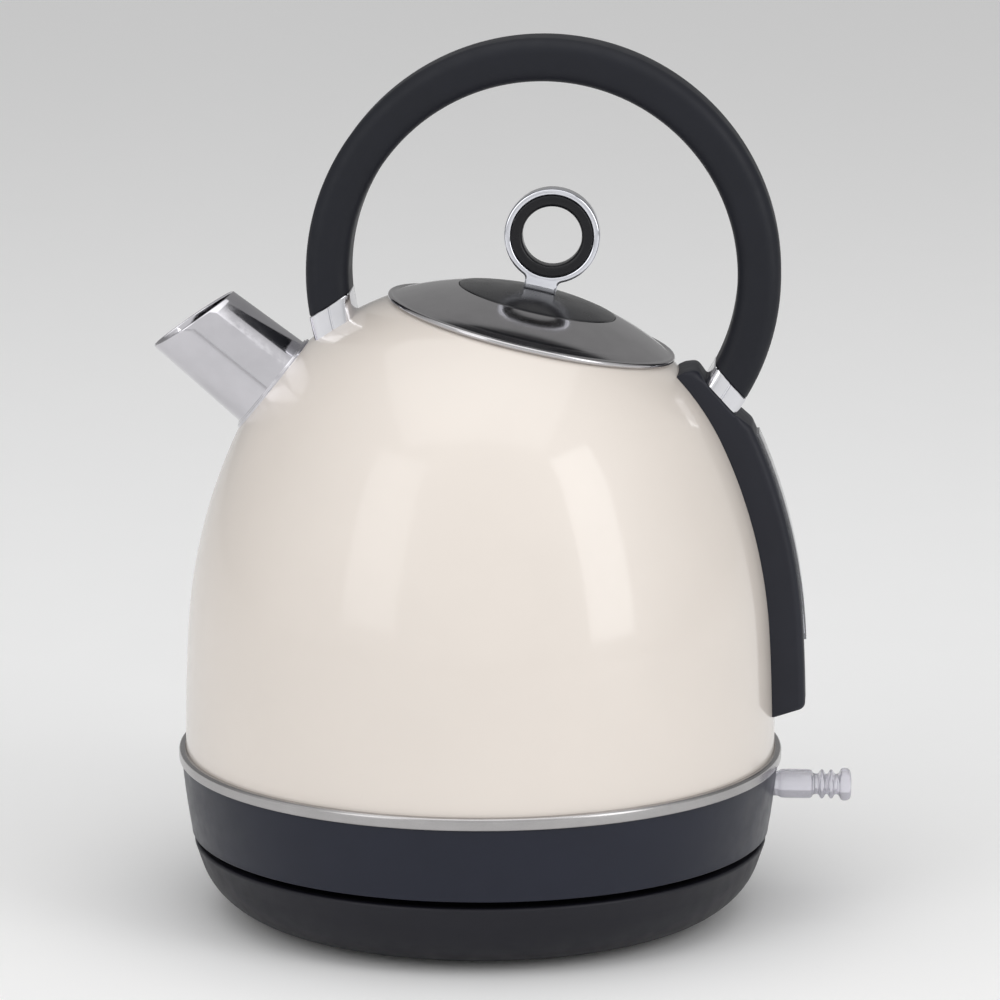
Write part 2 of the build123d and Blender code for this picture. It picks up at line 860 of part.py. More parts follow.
with BuildPart() as switch_lever:
    hub_half = lever_width / 2
    tip_x = collar_top_radius + lever_reach
    block_end_x = collar_top_radius + lever_block_length
    rib_step = (tip_x - lever_cap_length - block_end_x) / 3
    with BuildSketch(Plane.XZ.offset(-hub_half)):
        with Locations((pivot_x, lever_z)):
            Circle(lever_hub_radius)
        with Locations(((pivot_x + block_end_x) / 2, lever_z)):
            Rectangle(block_end_x - pivot_x, arm_height)
    extrude(amount=lever_width)
    # Grip outside the collar: block, waisted stem, ribs and end cap
    with BuildSketch(Plane.YZ.offset(collar_top_radius - 3)):
        with Locations((0, lever_z)):
            RectangleRounded(lever_width, lever_block_height, 2)
    extrude(amount=lever_block_length + 3)
    with BuildSketch(Plane.YZ.offset(block_end_x)):
        with Locations((0, lever_z)):
            RectangleRounded(lever_width - 3, lever_stem_height, 2)
    extrude(amount=tip_x - block_end_x - 1)
    for i in (1, 2):
        with BuildSketch(Plane.YZ.offset(block_end_x + i * rib_step - lever_rib_thickness / 2)):
            with Locations((0, lever_z)):
                RectangleRounded(lever_width - 0.6, lever_rib_height, 2.5)
        extrude(amount=lever_rib_thickness)
    with BuildSketch(Plane.YZ.offset(tip_x - lever_cap_length)):
        with Locations((0, lever_z)):
            RectangleRounded(lever_width, lever_cap_height, 3)
    extrude(amount=lever_cap_length)
    fillet(switch_lever.edges().group_by(Axis.X)[-1], radius=1.4)
    # Tail plate and peg that drive the rocker
    with Locations((pivot_x - peg_arm, -hub_half, lever_z)):
        Box(peg_arm, 4, 3.2, align=(Align.MIN, Align.MIN, Align.CENTER))
    with BuildSketch(Plane.XZ.offset(hub_half)):
        with Locations((pivot_x - peg_arm, lever_z)):
            Circle(peg_radius)
    extrude(amount=-(lever_width - 1))
    with BuildSketch(Plane.XZ.offset(-hub_half - 1)):
        with Locations((pivot_x, lever_z)):
            Circle(pivot_pin_radius + pin_gap)
    extrude(amount=lever_width + 2, mode=Mode.SUBTRACT)

with BuildPart() as trip_rocker:
    fork_inner = -hub_half + 5
    fork_outer = hub_half - 0.8
    with BuildSketch(Plane.XZ.offset(-fork_outer)):
        with Locations((rocker_x, lever_z)):
            Circle(rocker_hub_radius)
        with Locations((rocker_x, lever_z)):
            Rectangle(peg_arm + 2.5, arm_height, align=(Align.MIN, Align.CENTER))
        with Locations((rocker_x + 6, lever_z)):
            Rectangle(
                peg_arm,
                2 * peg_radius + 0.8,
                align=(Align.MIN, Align.CENTER),
                mode=Mode.SUBTRACT,
            )
        with Locations((rocker_x, lever_z)):
            Circle(pivot_pin_radius + pin_gap, mode=Mode.SUBTRACT)
    extrude(amount=fork_outer - fork_inner)

with BuildPart() as indicator_lamp:
    lamp_plane = Plane(
        origin=(pivot_x - 14, 0, underside_top_z + bracket_wall + lamp_radius),
        x_dir=(0, 1, 0),
        z_dir=(1, 0, 0),
    )
    rod(lamp_plane, lamp_radius, 0, lamp_length)
    fillet(indicator_lamp.edges().group_by(Axis.X)[-1], radius=1.5)

# ---------------------------------------------------------------- jug body
front_stud_plane = Plane(
    origin=hoop_point(hoop_mid_radius, hoop_meet),
    z_dir=hoop_point(hoop_mid_radius, hoop_meet - 90) - hoop_centre,
)


def spine_screw_plane(angle, centre, radius):
    """A plane on the dome's inner face, facing outwards."""
    out = Vector(cos(radians(angle)), 0, sin(radians(angle)))
    start = Vector(centre[0], 0, centre[1]) + out * (radius - body_wall)
    return Plane(origin=start, x_dir=(0, 1, 0), z_dir=out)


spine_screw_planes = [
    spine_screw_plane(1.8, side_centre, side_radius),
    spine_screw_plane(25, (0, crown_z), crown_radius),
]

with BuildPart() as body_shell:
    dome_solid(0, collar_top_z)
    dome_solid(body_wall, collar_top_z - 1, mode=Mode.SUBTRACT)
    rod(lid_plane, lid_opening_radius, -12, 20, mode=Mode.SUBTRACT)
    rod(
        spout_plane,
        spout_root_radius + 0.3,
        spout_root - 6,
        crown_radius + 10,
        mode=Mode.SUBTRACT,
    )
    with BuildSketch(Plane.YZ.offset(body_radius - 40)):
        with Locations((0, (gauge_bottom_z + gauge_top_z) / 2)):
            SlotOverall(gauge_slot_length, gauge_slot_width, rotation=90)
    extrude(amount=60, mode=Mode.SUBTRACT)
    rod(front_stud_plane, screw_radius + fixed_gap, -6, 6, mode=Mode.SUBTRACT)
    for screw_plane in spine_screw_planes:
        rod(screw_plane, screw_radius + fixed_gap, -2, 4, mode=Mode.SUBTRACT)

with BuildPart() as lid_seat:
    ring(
        lid_plane,
        seat_bore_radius,
        lid_opening_radius - fixed_gap,
        -lid_seat_depth,
        -lid_seat_drop,
    )

# ---------------------------------------------------------------- spout and filter
with BuildPart() as spout_tube:
    slope = (spout_root_radius - spout_tip_radius) / spout_reach
    over = spout_mouth + spout_tip_radius
    inside_root = spout_root_radius - spout_wall
    tip_radius = spout_root_radius - slope * (over - spout_root)
    turned(
        spout_profile,
        [
            (inside_root, spout_root),
            (spout_root_radius, spout_root),
            (tip_radius, over),
            (tip_radius - spout_wall, over),
        ],
    )
    mouth_tilt = elevation + radians(spout_cut_angle)
    mouth_plane = Plane(
        origin=crown_centre + spout_axis * spout_mouth,
        z_dir=(-cos(mouth_tilt), 0, sin(mouth_tilt)),
    )
    split(bisect_by=mouth_plane, keep=Keep.BOTTOM)

with BuildPart() as spout_flange:
    flange_radius = spout_root_radius + flange_lip
    flange_foot = sqrt(crown_radius**2 - flange_radius**2) - 0.5
    ring(
        spout_plane,
        spout_root_radius + fixed_gap,
        flange_radius,
        flange_foot,
        flange_foot + 0.5 + flange_height,
    )
    crown_ball(crown_radius)
    fillet(
        spout_flange.edges().filter_by(GeomType.CIRCLE).sort_by(Axis(crown_centre, spout_axis))[-1],
        radius=0.4,
    )

filter_radius = inside_root - moving_gap
filter_back = spout_root - filter_flange - 0.5

with BuildPart() as filter_frame:
    ring(
        spout_plane,
        filter_radius - filter_wall,
        filter_radius,
        filter_back,
        filter_back + filter_depth,
    )
    ring(
        spout_plane,
        filter_radius - filter_wall,
        spout_root_radius + 1.5,
        filter_back,
        filter_back + filter_flange,
    )

with BuildPart() as filter_mesh:
    mesh_radius = filter_radius - filter_wall - fixed_gap
    mesh_place = filter_back + filter_depth - 2
    with BuildSketch(spout_plane.offset(mesh_place)):
        Circle(mesh_radius)
        with HexLocations(mesh_pitch, 9, 9):
            Circle(mesh_hole_radius, mode=Mode.SUBTRACT)
    extrude(amount=mesh_thickness)

# ---------------------------------------------------------------- handle
with BuildPart() as handle_grip:
    hoop_bar(hoop_meet, -hoop_meet, hoop_depth, hoop_width, hoop_corner)
    cut_block(front_end, above=False)
    cut_block(rear_end, above=False)
    core_bar(fixed_gap, mode=Mode.SUBTRACT)

with BuildPart() as handle_core:
    core_bar(0)
    rod(front_stud_plane, screw_radius + fixed_gap, -10, 12, mode=Mode.SUBTRACT)

sleeve_depth = hoop_depth + 2 * sleeve_proud
sleeve_width = hoop_width + 2 * sleeve_proud

with BuildPart() as front_sleeve:
    hoop_bar(hoop_meet + 6, hoop_meet - 14, sleeve_depth, sleeve_width, hoop_corner)
    cut_block(front_end, above=True)
    crown_ball(crown_radius)
    core_bar(fixed_gap, mode=Mode.SUBTRACT)
    rod(front_stud_plane, screw_radius + fixed_gap, -10, 12, mode=Mode.SUBTRACT)

with BuildPart() as rear_sleeve:
    hoop_bar(14 - hoop_meet, -hoop_meet, sleeve_depth, sleeve_width, hoop_corner)
    cut_block(rear_end, above=True)
    cut_block(rear_seat, above=False)
    core_bar(fixed_gap, mode=Mode.SUBTRACT)

with BuildPart() as handle_stud:
    stud_out = hoop_mid_radius * sin(radians(core_front_inset)) + 6
    rod(front_stud_plane, screw_radius, -6, stud_out)

with BuildPart() as stud_nut:
    with BuildSketch(front_stud_plane.offset(-2 * nut_height)):
        RegularPolygon(nut_radius, 6)
        Circle(screw_radius + fixed_gap, mode=Mode.SUBTRACT)
    extrude(amount=nut_height)

# ---------------------------------------------------------------- spine and gauge
def seat_corner(radius):
    """Where a circle of the hoop meets the spine's seat."""
    reach = crown_radius + rear_seat_height - hoop_offset * cos(radians(seat_turn))
    return hoop_point(radius, -(seat_turn + degrees(acos(reach / radius))))


seat_inner = seat_corner(hoop_inner_radius - sleeve_proud)
seat_outer = seat_corner(hoop_outer_radius + sleeve_proud)
spine_turn = degrees(atan2(seat_outer.Z - crown_z, seat_outer.X)) - spine_shoulder_turn


def spine_profile():
    """The spine's outline in the XZ plane between the dome and its outer face."""
    foot_x = body_radius + spine_depth
    with BuildSketch(Plane.XZ) as section:
        with BuildLine():
            dome_arcs(-fixed_gap, spine_tail_angle)
            dome_arcs(-spine_depth, spine_turn)
            Polyline(
                crown_point(spine_turn, spine_depth),
                (seat_outer.X, seat_outer.Z),
                (seat_inner.X, seat_inner.Z),
                crown_point(spine_lip_angle, spine_lip_height),
                crown_point(spine_tail_angle, spine_tail_height),
                crown_point(spine_tail_angle, fixed_gap),
            )
            Line((body_radius + fixed_gap, body_tangent_z), (foot_x, body_tangent_z))
        make_face()
        # The foot's cut rises outwards.
        with BuildLine():
            Polyline(
                (body_radius - spine_depth, spine_foot_z - spine_foot_lift),
                (foot_x, spine_foot_z + spine_foot_lift),
                (foot_x + spine_depth, spine_foot_z + spine_foot_lift),
                (foot_x + spine_depth, 0),
                (body_radius - spine_depth, 0),
                close=True,
            )
        make_face(mode=Mode.SUBTRACT)
    return section.sketch


with BuildPart() as spine_cover:
    extrude(spine_profile(), amount=spine_width / 2, both=True)
    # Hollow behind the outer wall, left solid under the handle's seat
    spine_block(
        0,
        spine_depth - spine_wall,
        spine_foot_z + spine_foot_lift + spine_wall,
        gauge_top_z - 1,
        spine_width - 2 * spine_wall,
        mode=Mode.SUBTRACT,
    )
    # Slot for the gauge
    with BuildSketch(Plane.YZ.offset(body_radius - 30)):
        with Locations((0, (gauge_bottom_z + gauge_top_z) / 2)):
            SlotOverall(
                gauge_top_z - gauge_bottom_z - 4, gauge_stem_width + 2 * fixed_gap, rotation=90
            )
    extrude(amount=60, mode=Mode.SUBTRACT)
    for screw_plane in spine_screw_planes:
        rod(screw_plane, 3.2, body_wall + fixed_gap, body_wall + spine_depth - spine_wall + 0.5)
        rod(screw_plane, screw_radius + fixed_gap, 0, 6, mode=Mode.SUBTRACT)

with BuildPart() as gauge_window:
    spine_block(spine_depth, spine_depth + gauge_proud, gauge_bottom_z, gauge_top_z, gauge_width)
    spine_block(
        gasket_sheet, spine_depth, gauge_bottom_z + 7, gauge_top_z - 8, gauge_stem_width - 0.1
    )

with BuildPart() as gauge_gasket:
    spine_block(0, gasket_sheet, gauge_bottom_z + 7, gauge_top_z - 8, gauge_stem_width)
    with BuildSketch(Plane.YZ.offset(body_radius - 30)):
        with Locations((0, (gauge_bottom_z + gauge_top_z) / 2)):
            SlotOverall(gauge_slot_length, gauge_slot_width, rotation=90)
    extrude(amount=60, mode=Mode.SUBTRACT)

with BuildPart() as spine_screws:
    for screw_plane in spine_screw_planes:
        rod(screw_plane, screw_head_radius, -screw_head_height - 0.4, -0.4)
        rod(screw_plane, screw_radius, -0.4, 5.6)

# ---------------------------------------------------------------- lid
with BuildPart() as lid_cover:
    recess_wall = cap_radius + fixed_gap + lid_thickness
    pan_outer = cap_seat
    wall_foot = sqrt((pan_outer - lid_thickness) ** 2 - recess_wall**2) - cover_drop
    wall_top = sqrt(lid_radius**2 - recess_wall**2) - cover_drop
    crown_cap(lid_radius - lid_thickness, lid_radius, cover_rim)
    rod(lid_plane, cap_radius + fixed_gap, 0, 30, mode=Mode.SUBTRACT)
    crown_cap(pan_outer - lid_thickness, pan_outer, recess_wall)
    ring(lid_plane, cap_radius + fixed_gap, recess_wall, wall_foot, wall_top)
    with BuildSketch(lid_profile):
        with Locations((cover_rim, cover_rim_height - 0.1)):
            Circle(lid_bead_radius)
    revolve(axis=Axis(lid_origin, lid_axis))
    rod(lid_plane, knob_screw_radius + fixed_gap, 0, 30, mode=Mode.SUBTRACT)

with BuildPart() as lid_cap:
    crown_cap(cap_seat, cap_outer, cap_radius)
    rod(lid_plane, knob_screw_radius + fixed_gap, 0, 30, mode=Mode.SUBTRACT)

with BuildPart() as knob_ring:
    neck_top = knob_height - knob_ring_radius + 2
    neck_foot = cap_outer - cover_drop - 1.5
    with BuildSketch(lid_profile):
        with Locations((0, knob_height)):
            Circle(knob_ring_radius)
        with Locations((0, neck_foot)):
            Rectangle(knob_neck_width, neck_top - neck_foot, align=(Align.CENTER, Align.MIN))
        with Locations((0, knob_height)):
            Circle(knob_insert_radius, mode=Mode.SUBTRACT)
    extrude(amount=knob_thickness / 2, both=True)
    lid_ball(cap_outer)
    rod(lid_plane, knob_screw_radius + fixed_gap, 0, neck_top - 0.6, mode=Mode.SUBTRACT)

with BuildPart() as knob_insert:
    with BuildSketch(lid_profile):
        with Locations((0, knob_height)):
            Circle(knob_insert_radius - fixed_gap)
            Circle(knob_hole_radius, mode=Mode.SUBTRACT)
    extrude(amount=knob_thickness / 2 + 0.3, both=True)
    chamfer(knob_insert.edges().filter_by(GeomType.CIRCLE), length=0.5)

with BuildPart() as lid_liner:
    plate_radius = lid_opening_radius - moving_gap
    rod(lid_plane, plate_radius, 0, liner_thickness)
    ring(
        lid_plane,
        liner_skirt_radius - liner_wall,
        liner_skirt_radius,
        -liner_depth,
        0,
    )
    rod(lid_plane, knob_screw_radius + fixed_gap, -1, 2, mode=Mode.SUBTRACT)

with BuildPart() as lid_gasket:
    gasket_top = -liner_depth / 2 + gasket_height / 2
    ring(
        lid_plane,
        liner_skirt_radius + fixed_gap,
        liner_skirt_radius + gasket_thickness,
        gasket_top - gasket_height,
        gasket_top,
    )

with BuildPart() as knob_screw:
    rod(lid_plane, knob_screw_radius, 0, neck_top - 1)
    rod(lid_plane, 2 * knob_screw_radius, -2, 0)
    fillet(knob_screw.edges().group_by(Axis(lid_origin, lid_axis))[0], radius=0.8)

# ---------------------------------------------------------------- export
pieces = {
    "base_housing": base_housing,
    "base_bottom_cover": base_bottom_cover,
    "foot_ring": foot_ring,
    "base_screws": base_screws,
    "base_connector": base_connector,
    "base_contacts": base_contacts,
    "shutter_sleeve": shutter_sleeve,
    "cord_gland": cord_gland,
    "cord_clamp": cord_clamp,
    "clamp_screws": clamp_screws,
    "lower_collar": lower_collar,
    "trim_band": trim_band,
    "underside_cover": underside_cover,
    "underside_screws": underside_screws,
    "floor_plate": floor_plate,
    "heat_spreader": heat_spreader,
    "heating_element": heating_element,
    "element_pins": element_pins,
    "control_unit": control_unit,
    "jug_connector": jug_connector,
    "live_pin": live_pin,
    "neutral_ring": neutral_ring,
    "earth_ring": earth_ring,
    "steam_tube": steam_tube,
    "steam_thermostat": steam_thermostat,
    "bimetal_disc": bimetal_disc,
    "switch_bracket": switch_bracket,
    "pivot_pins": pivot_pins,
    "switch_lever": switch_lever,
    "trip_rocker": trip_rocker,
    "indicator_lamp": indicator_lamp,
    "body_shell": body_shell,
    "lid_seat": lid_seat,
    "spout_tube": spout_tube,
    "spout_flange": spout_flange,
    "filter_frame": filter_frame,
    "filter_mesh": filter_mesh,
    "handle_grip": handle_grip,
    "handle_core": handle_core,
    "front_sleeve": front_sleeve,
    "rear_sleeve": rear_sleeve,
    "handle_stud": handle_stud,
    "stud_nut": stud_nut,
    "spine_cover": spine_cover,
    "gauge_window": gauge_window,
    "gauge_gasket": gauge_gasket,
    "spine_screws": spine_screws,
    "lid_cover": lid_cover,
    "lid_cap": lid_cap,
    "lid_liner": lid_liner,
    "lid_gasket": lid_gasket,
    "knob_ring": knob_ring,
    "knob_insert": knob_insert,
    "knob_screw": knob_screw,
}

for name, piece in pieces.items():
    piece.part.label = name
    export_step(piece.part, f"parts/{name}.step")
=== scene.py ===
import json
from math import acos, asin, atan2, cos, degrees, hypot, pi, radians, sin, sqrt, tan

import bmesh
import bpy
from mathutils import Matrix, Vector


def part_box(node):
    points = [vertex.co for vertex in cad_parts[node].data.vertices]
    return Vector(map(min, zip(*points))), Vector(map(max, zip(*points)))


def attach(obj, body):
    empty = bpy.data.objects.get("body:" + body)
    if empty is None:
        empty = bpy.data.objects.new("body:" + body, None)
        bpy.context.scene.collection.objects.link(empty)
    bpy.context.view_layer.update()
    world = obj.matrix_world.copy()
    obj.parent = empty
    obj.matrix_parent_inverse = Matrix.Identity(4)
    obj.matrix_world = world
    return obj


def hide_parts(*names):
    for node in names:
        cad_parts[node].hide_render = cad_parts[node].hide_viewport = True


# Looks of the electric kettle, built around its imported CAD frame.
# Shapes are worked out in millimetres and made in metres.
# Same frame as the CAD: +Z up, spout towards -X, switch and spine towards +X.

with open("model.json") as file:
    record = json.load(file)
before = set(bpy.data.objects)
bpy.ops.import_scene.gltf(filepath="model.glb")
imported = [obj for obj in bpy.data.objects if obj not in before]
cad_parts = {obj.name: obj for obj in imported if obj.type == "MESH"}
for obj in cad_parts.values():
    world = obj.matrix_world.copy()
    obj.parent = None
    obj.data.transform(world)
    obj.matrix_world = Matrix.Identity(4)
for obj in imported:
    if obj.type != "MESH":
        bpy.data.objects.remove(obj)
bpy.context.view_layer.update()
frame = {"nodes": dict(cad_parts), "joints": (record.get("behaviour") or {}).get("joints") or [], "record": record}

MM = 0.001
NODES = frame["nodes"]


# ---------------------------------------------------------------- sizes from the frame
def box_mm(node):
    """Lowest and highest corners of a CAD node, in millimetres."""
    low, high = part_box(node)
    return low / MM, high / MM


def joint(name):
    """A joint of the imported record."""
    return next(j for j in frame["joints"] if j["name"] == name)


shell_low, shell_high = box_mm("body_shell")
collar_low, collar_high = box_mm("lower_collar")
band_low, band_high = box_mm("trim_band")
knob_low, knob_high = box_mm("knob_insert")
lever_low, lever_high = box_mm("switch_lever")
gauge_low, gauge_high = box_mm("gauge_window")

body_radius = shell_high.x
body_straight = 3.34
side_radius, side_turn = 639.0, 3.495
shoulder_radius, shoulder_turn = 165.75, 21.085
body_wall = 1.0
body_tangent_z = shell_low.z + body_straight
crown_start = side_turn + shoulder_turn
side_centre = (body_radius - side_radius, body_tangent_z)
shoulder_centre = (
    side_centre[0] + (side_radius - shoulder_radius) * cos(radians(side_turn)),
    side_centre[1] + (side_radius - shoulder_radius) * sin(radians(side_turn)),
)
crown_radius = shoulder_centre[0] / cos(radians(crown_start)) + shoulder_radius
crown_z = shoulder_centre[1] + (shoulder_radius - crown_radius) * sin(radians(crown_start))

lid_axis = Vector(joint("lid_lift")["axis"]).normalized()
knob_centre = (knob_low + knob_high) / 2
lid_circle_radius = 44.15
lid_rise = sqrt(crown_radius**2 - lid_circle_radius**2)
lid_origin = Vector((0, 0, crown_z)) + lid_axis * lid_rise
knob_height = (knob_centre - lid_origin).dot(lid_axis)
lid_side = Vector((lid_axis.z, 0, -lid_axis.x))
lid_angle = degrees(atan2(lid_axis.x, lid_axis.z))
hoop_rise = 17.8
hoop_centre = lid_origin + lid_axis * hoop_rise
hoop_inner, hoop_outer = 60.0, 73.4
hoop_middle = (hoop_inner + hoop_outer) / 2
hoop_half_width = 11.0
hoop_offset = lid_rise + hoop_rise

spout_axis = -Vector(joint("filter_pull")["axis"]).normalized()
spout_up = Vector((spout_axis.z, 0, -spout_axis.x))
spout_root_radius, spout_tip_radius = 16.0, 14.6
spout_reach, spout_wall, spout_tuck = 30.6, 0.9, 4.0
spout_cut = radians(16.6)


def turned_frame(origin, side, axis):
    """Matrix from a turned piece's own (x, y, height) to the kettle's frame."""
    across = axis.cross(side)
    matrix = Matrix((side, across, axis)).transposed().to_4x4()
    matrix.translation = origin
    return matrix


UPRIGHT = Matrix.Identity(4)
LID = turned_frame(lid_origin, lid_side, lid_axis)
SPOUT = turned_frame(Vector((0, 0, crown_z)), spout_up, spout_axis)


# ---------------------------------------------------------------- outlines
def rounded(corners, closed=True, steps=6):
    """Outline points from (x, y, radius) corners, each corner as an arc."""
    points = []
    count = len(corners)
    for i, (x, y, radius) in enumerate(corners):
        here = Vector((x, y))
        if radius <= 0 or (not closed and i in (0, count - 1)):
            points.append((x, y))
            continue
        before = Vector(corners[i - 1][:2]) - here
        after = Vector(corners[(i + 1) % count][:2]) - here
        half = before.angle(after) / 2
        run = min(radius / tan(half), 0.49 * before.length, 0.49 * after.length)
        radius = run * tan(half)
        start = here + before.normalized() * run
        bisector = (before.normalized() + after.normalized()).normalized()
        centre = here + bisector * radius / sin(half)
        first = start - centre
        sweep = pi - 2 * half
        turn = 1 if (-before).cross(after) > 0 else -1
        for k in range(steps + 1):
            arm = Matrix.Rotation(turn * sweep * k / steps, 2) @ first
            points.append(tuple(centre + arm))
    return points


def arc(centre, radius, start, end, steps):
    """Points of an arc, angles in degrees."""
    turns = [radians(start + (end - start) * k / steps) for k in range(steps + 1)]
    return [(centre[0] + radius * cos(t), centre[1] + radius * sin(t)) for t in turns]


def dome_outline(inset, end_angle=90):
    """The dome's outline from its foot to end_angle, as (radius, z) points."""
    return (
        arc(side_centre, side_radius - inset, 0, side_turn, 16)
        + arc(shoulder_centre, shoulder_radius - inset, side_turn, crown_start, 30)[1:]
        + arc((0, crown_z), crown_radius - inset, crown_start, end_angle, 44)[1:]
    )


def dome_radius(z):
    """The dome's outer radius at a height."""
    crown_from = crown_z + crown_radius * sin(radians(crown_start))
    shoulder_from = side_centre[1] + side_radius * sin(radians(side_turn))
    if z >= crown_from:
        return sqrt(max(crown_radius**2 - (z - crown_z) ** 2, 0))
    if z >= shoulder_from:
        return shoulder_centre[0] + sqrt(shoulder_radius**2 - (z - shoulder_centre[1]) ** 2)
    if z >= body_tangent_z:
        return side_centre[0] + sqrt(side_radius**2 - (z - body_tangent_z) ** 2)
    return body_radius


# ---------------------------------------------------------------- meshes
def make(name, verts, faces, matrix, sharp):
    """A smooth-shaded mesh object from millimetre points, with sharp creases kept."""
    mesh = bpy.data.meshes.new(name)
    mesh.from_pydata([(matrix @ Vector(v)) * MM for v in verts], [], faces)
    piece = bpy.data.objects.new(name, mesh)
    bpy.context.scene.collection.objects.link(piece)
    shade(piece, sharp, 1e-4)
    return piece


def shade(piece, sharp, weld):
    """Cleans the mesh, points its faces outwards and marks edges sharper than an angle."""
    work = bmesh.new()
    work.from_mesh(piece.data)
    bmesh.ops.remove_doubles(work, verts=work.verts, dist=weld * MM)
    bmesh.ops.recalc_face_normals(work, faces=work.faces)
    for face in work.faces:
        face.smooth = True
    for edge in work.edges:
        edge.smooth = len(edge.link_faces) == 2 and edge.calc_face_angle(0) < radians(sharp)
    work.to_mesh(piece.data)
    work.free()


def lathe(name, outline, matrix=UPRIGHT, segments=160, sharp=32):
    """A turned piece: a closed (radius, height) outline spun round the frame's own Z."""
    verts, faces = [], []
    for k in range(segments):
        turn = 2 * pi * k / segments
        verts += [(r * cos(turn), r * sin(turn), h) for r, h in outline]
    count = len(outline)
    for k in range(segments):
        here, there = k * count, ((k + 1) % segments) * count
        for i in range(count):
            j = (i + 1) % count
            if outline[i][0] < 1e-6 and outline[j][0] < 1e-6:
                continue
            if outline[i][0] < 1e-6:
                faces.append((here + i, there + j, here + j))
            elif outline[j][0] < 1e-6:
                faces.append((here + i, there + i, here + j))
            else:
                faces.append((here + i, there + i, there + j, here + j))
    return make(name, verts, faces, matrix, sharp)


def loft(name, rings, closed=False, sharp=32, matrix=UPRIGHT):
    """A skin over rings of equally many points, capped at both ends unless closed."""
    count = len(rings[0])
    verts = [p for ring in rings for p in ring]
    faces = []
    last = len(rings) if closed else len(rings) - 1
    for k in range(last):
        here, there = k * count, ((k + 1) % len(rings)) * count
        for i in range(count):
            j = (i + 1) % count
            faces.append((here + i, here + j, there + j, there + i))
    if not closed:
        faces.append(tuple(range(count)))
        faces.append(tuple(range(last * count, (last + 1) * count)))
    return make(name, verts, faces, matrix, sharp)


def slab(name, outlines, half, bevel, matrix=UPRIGHT):
    """A flat plate from closed outlines in the XZ plane, its edges rounded by bevel."""
    curve = bpy.data.curves.new(name, "CURVE")
    curve.dimensions = "2D"
    curve.fill_mode = "BOTH"
    curve.extrude = (half - bevel) * MM
    curve.bevel_depth = bevel * MM
    curve.bevel_resolution = 4
    curve.offset = -bevel * MM
    for outline in outlines:
        spline = curve.splines.new("POLY")
        spline.points.add(len(outline) - 1)
        for point, (x, z) in zip(spline.points, outline):
            point.co = (x * MM, z * MM, 0, 1)
        spline.use_cyclic_u = True
    holder = bpy.data.objects.new(name, curve)
    bpy.context.scene.collection.objects.link(holder)
    graph = bpy.context.evaluated_depsgraph_get()
    mesh = bpy.data.meshes.new_from_object(holder.evaluated_get(graph))
    bpy.data.objects.remove(holder)
    mesh.transform(Matrix.Rotation(pi / 2, 4, "X"))
    scaled = matrix.copy()
    scaled.translation = matrix.translation * MM
    mesh.transform(scaled)
    piece = bpy.data.objects.new(name, mesh)
    bpy.context.scene.collection.objects.link(piece)
    shade(piece, 40, 1e-3)
    return piece


def carve(piece, tools, sharp=28):
    """Cuts the tools out of a piece and removes them."""
    for tool in tools:
        modifier = piece.modifiers.new("cut", "BOOLEAN")
        modifier.operation = "DIFFERENCE"
        modifier.solver = "EXACT"
        modifier.object = tool
    graph = bpy.context.evaluated_depsgraph_get()
    mesh = bpy.data.meshes.new_from_object(piece.evaluated_get(graph))
    piece.modifiers.clear()
    piece.data = mesh
    for tool in tools:
        bpy.data.objects.remove(tool)
    shade(piece, sharp, 1e-3)


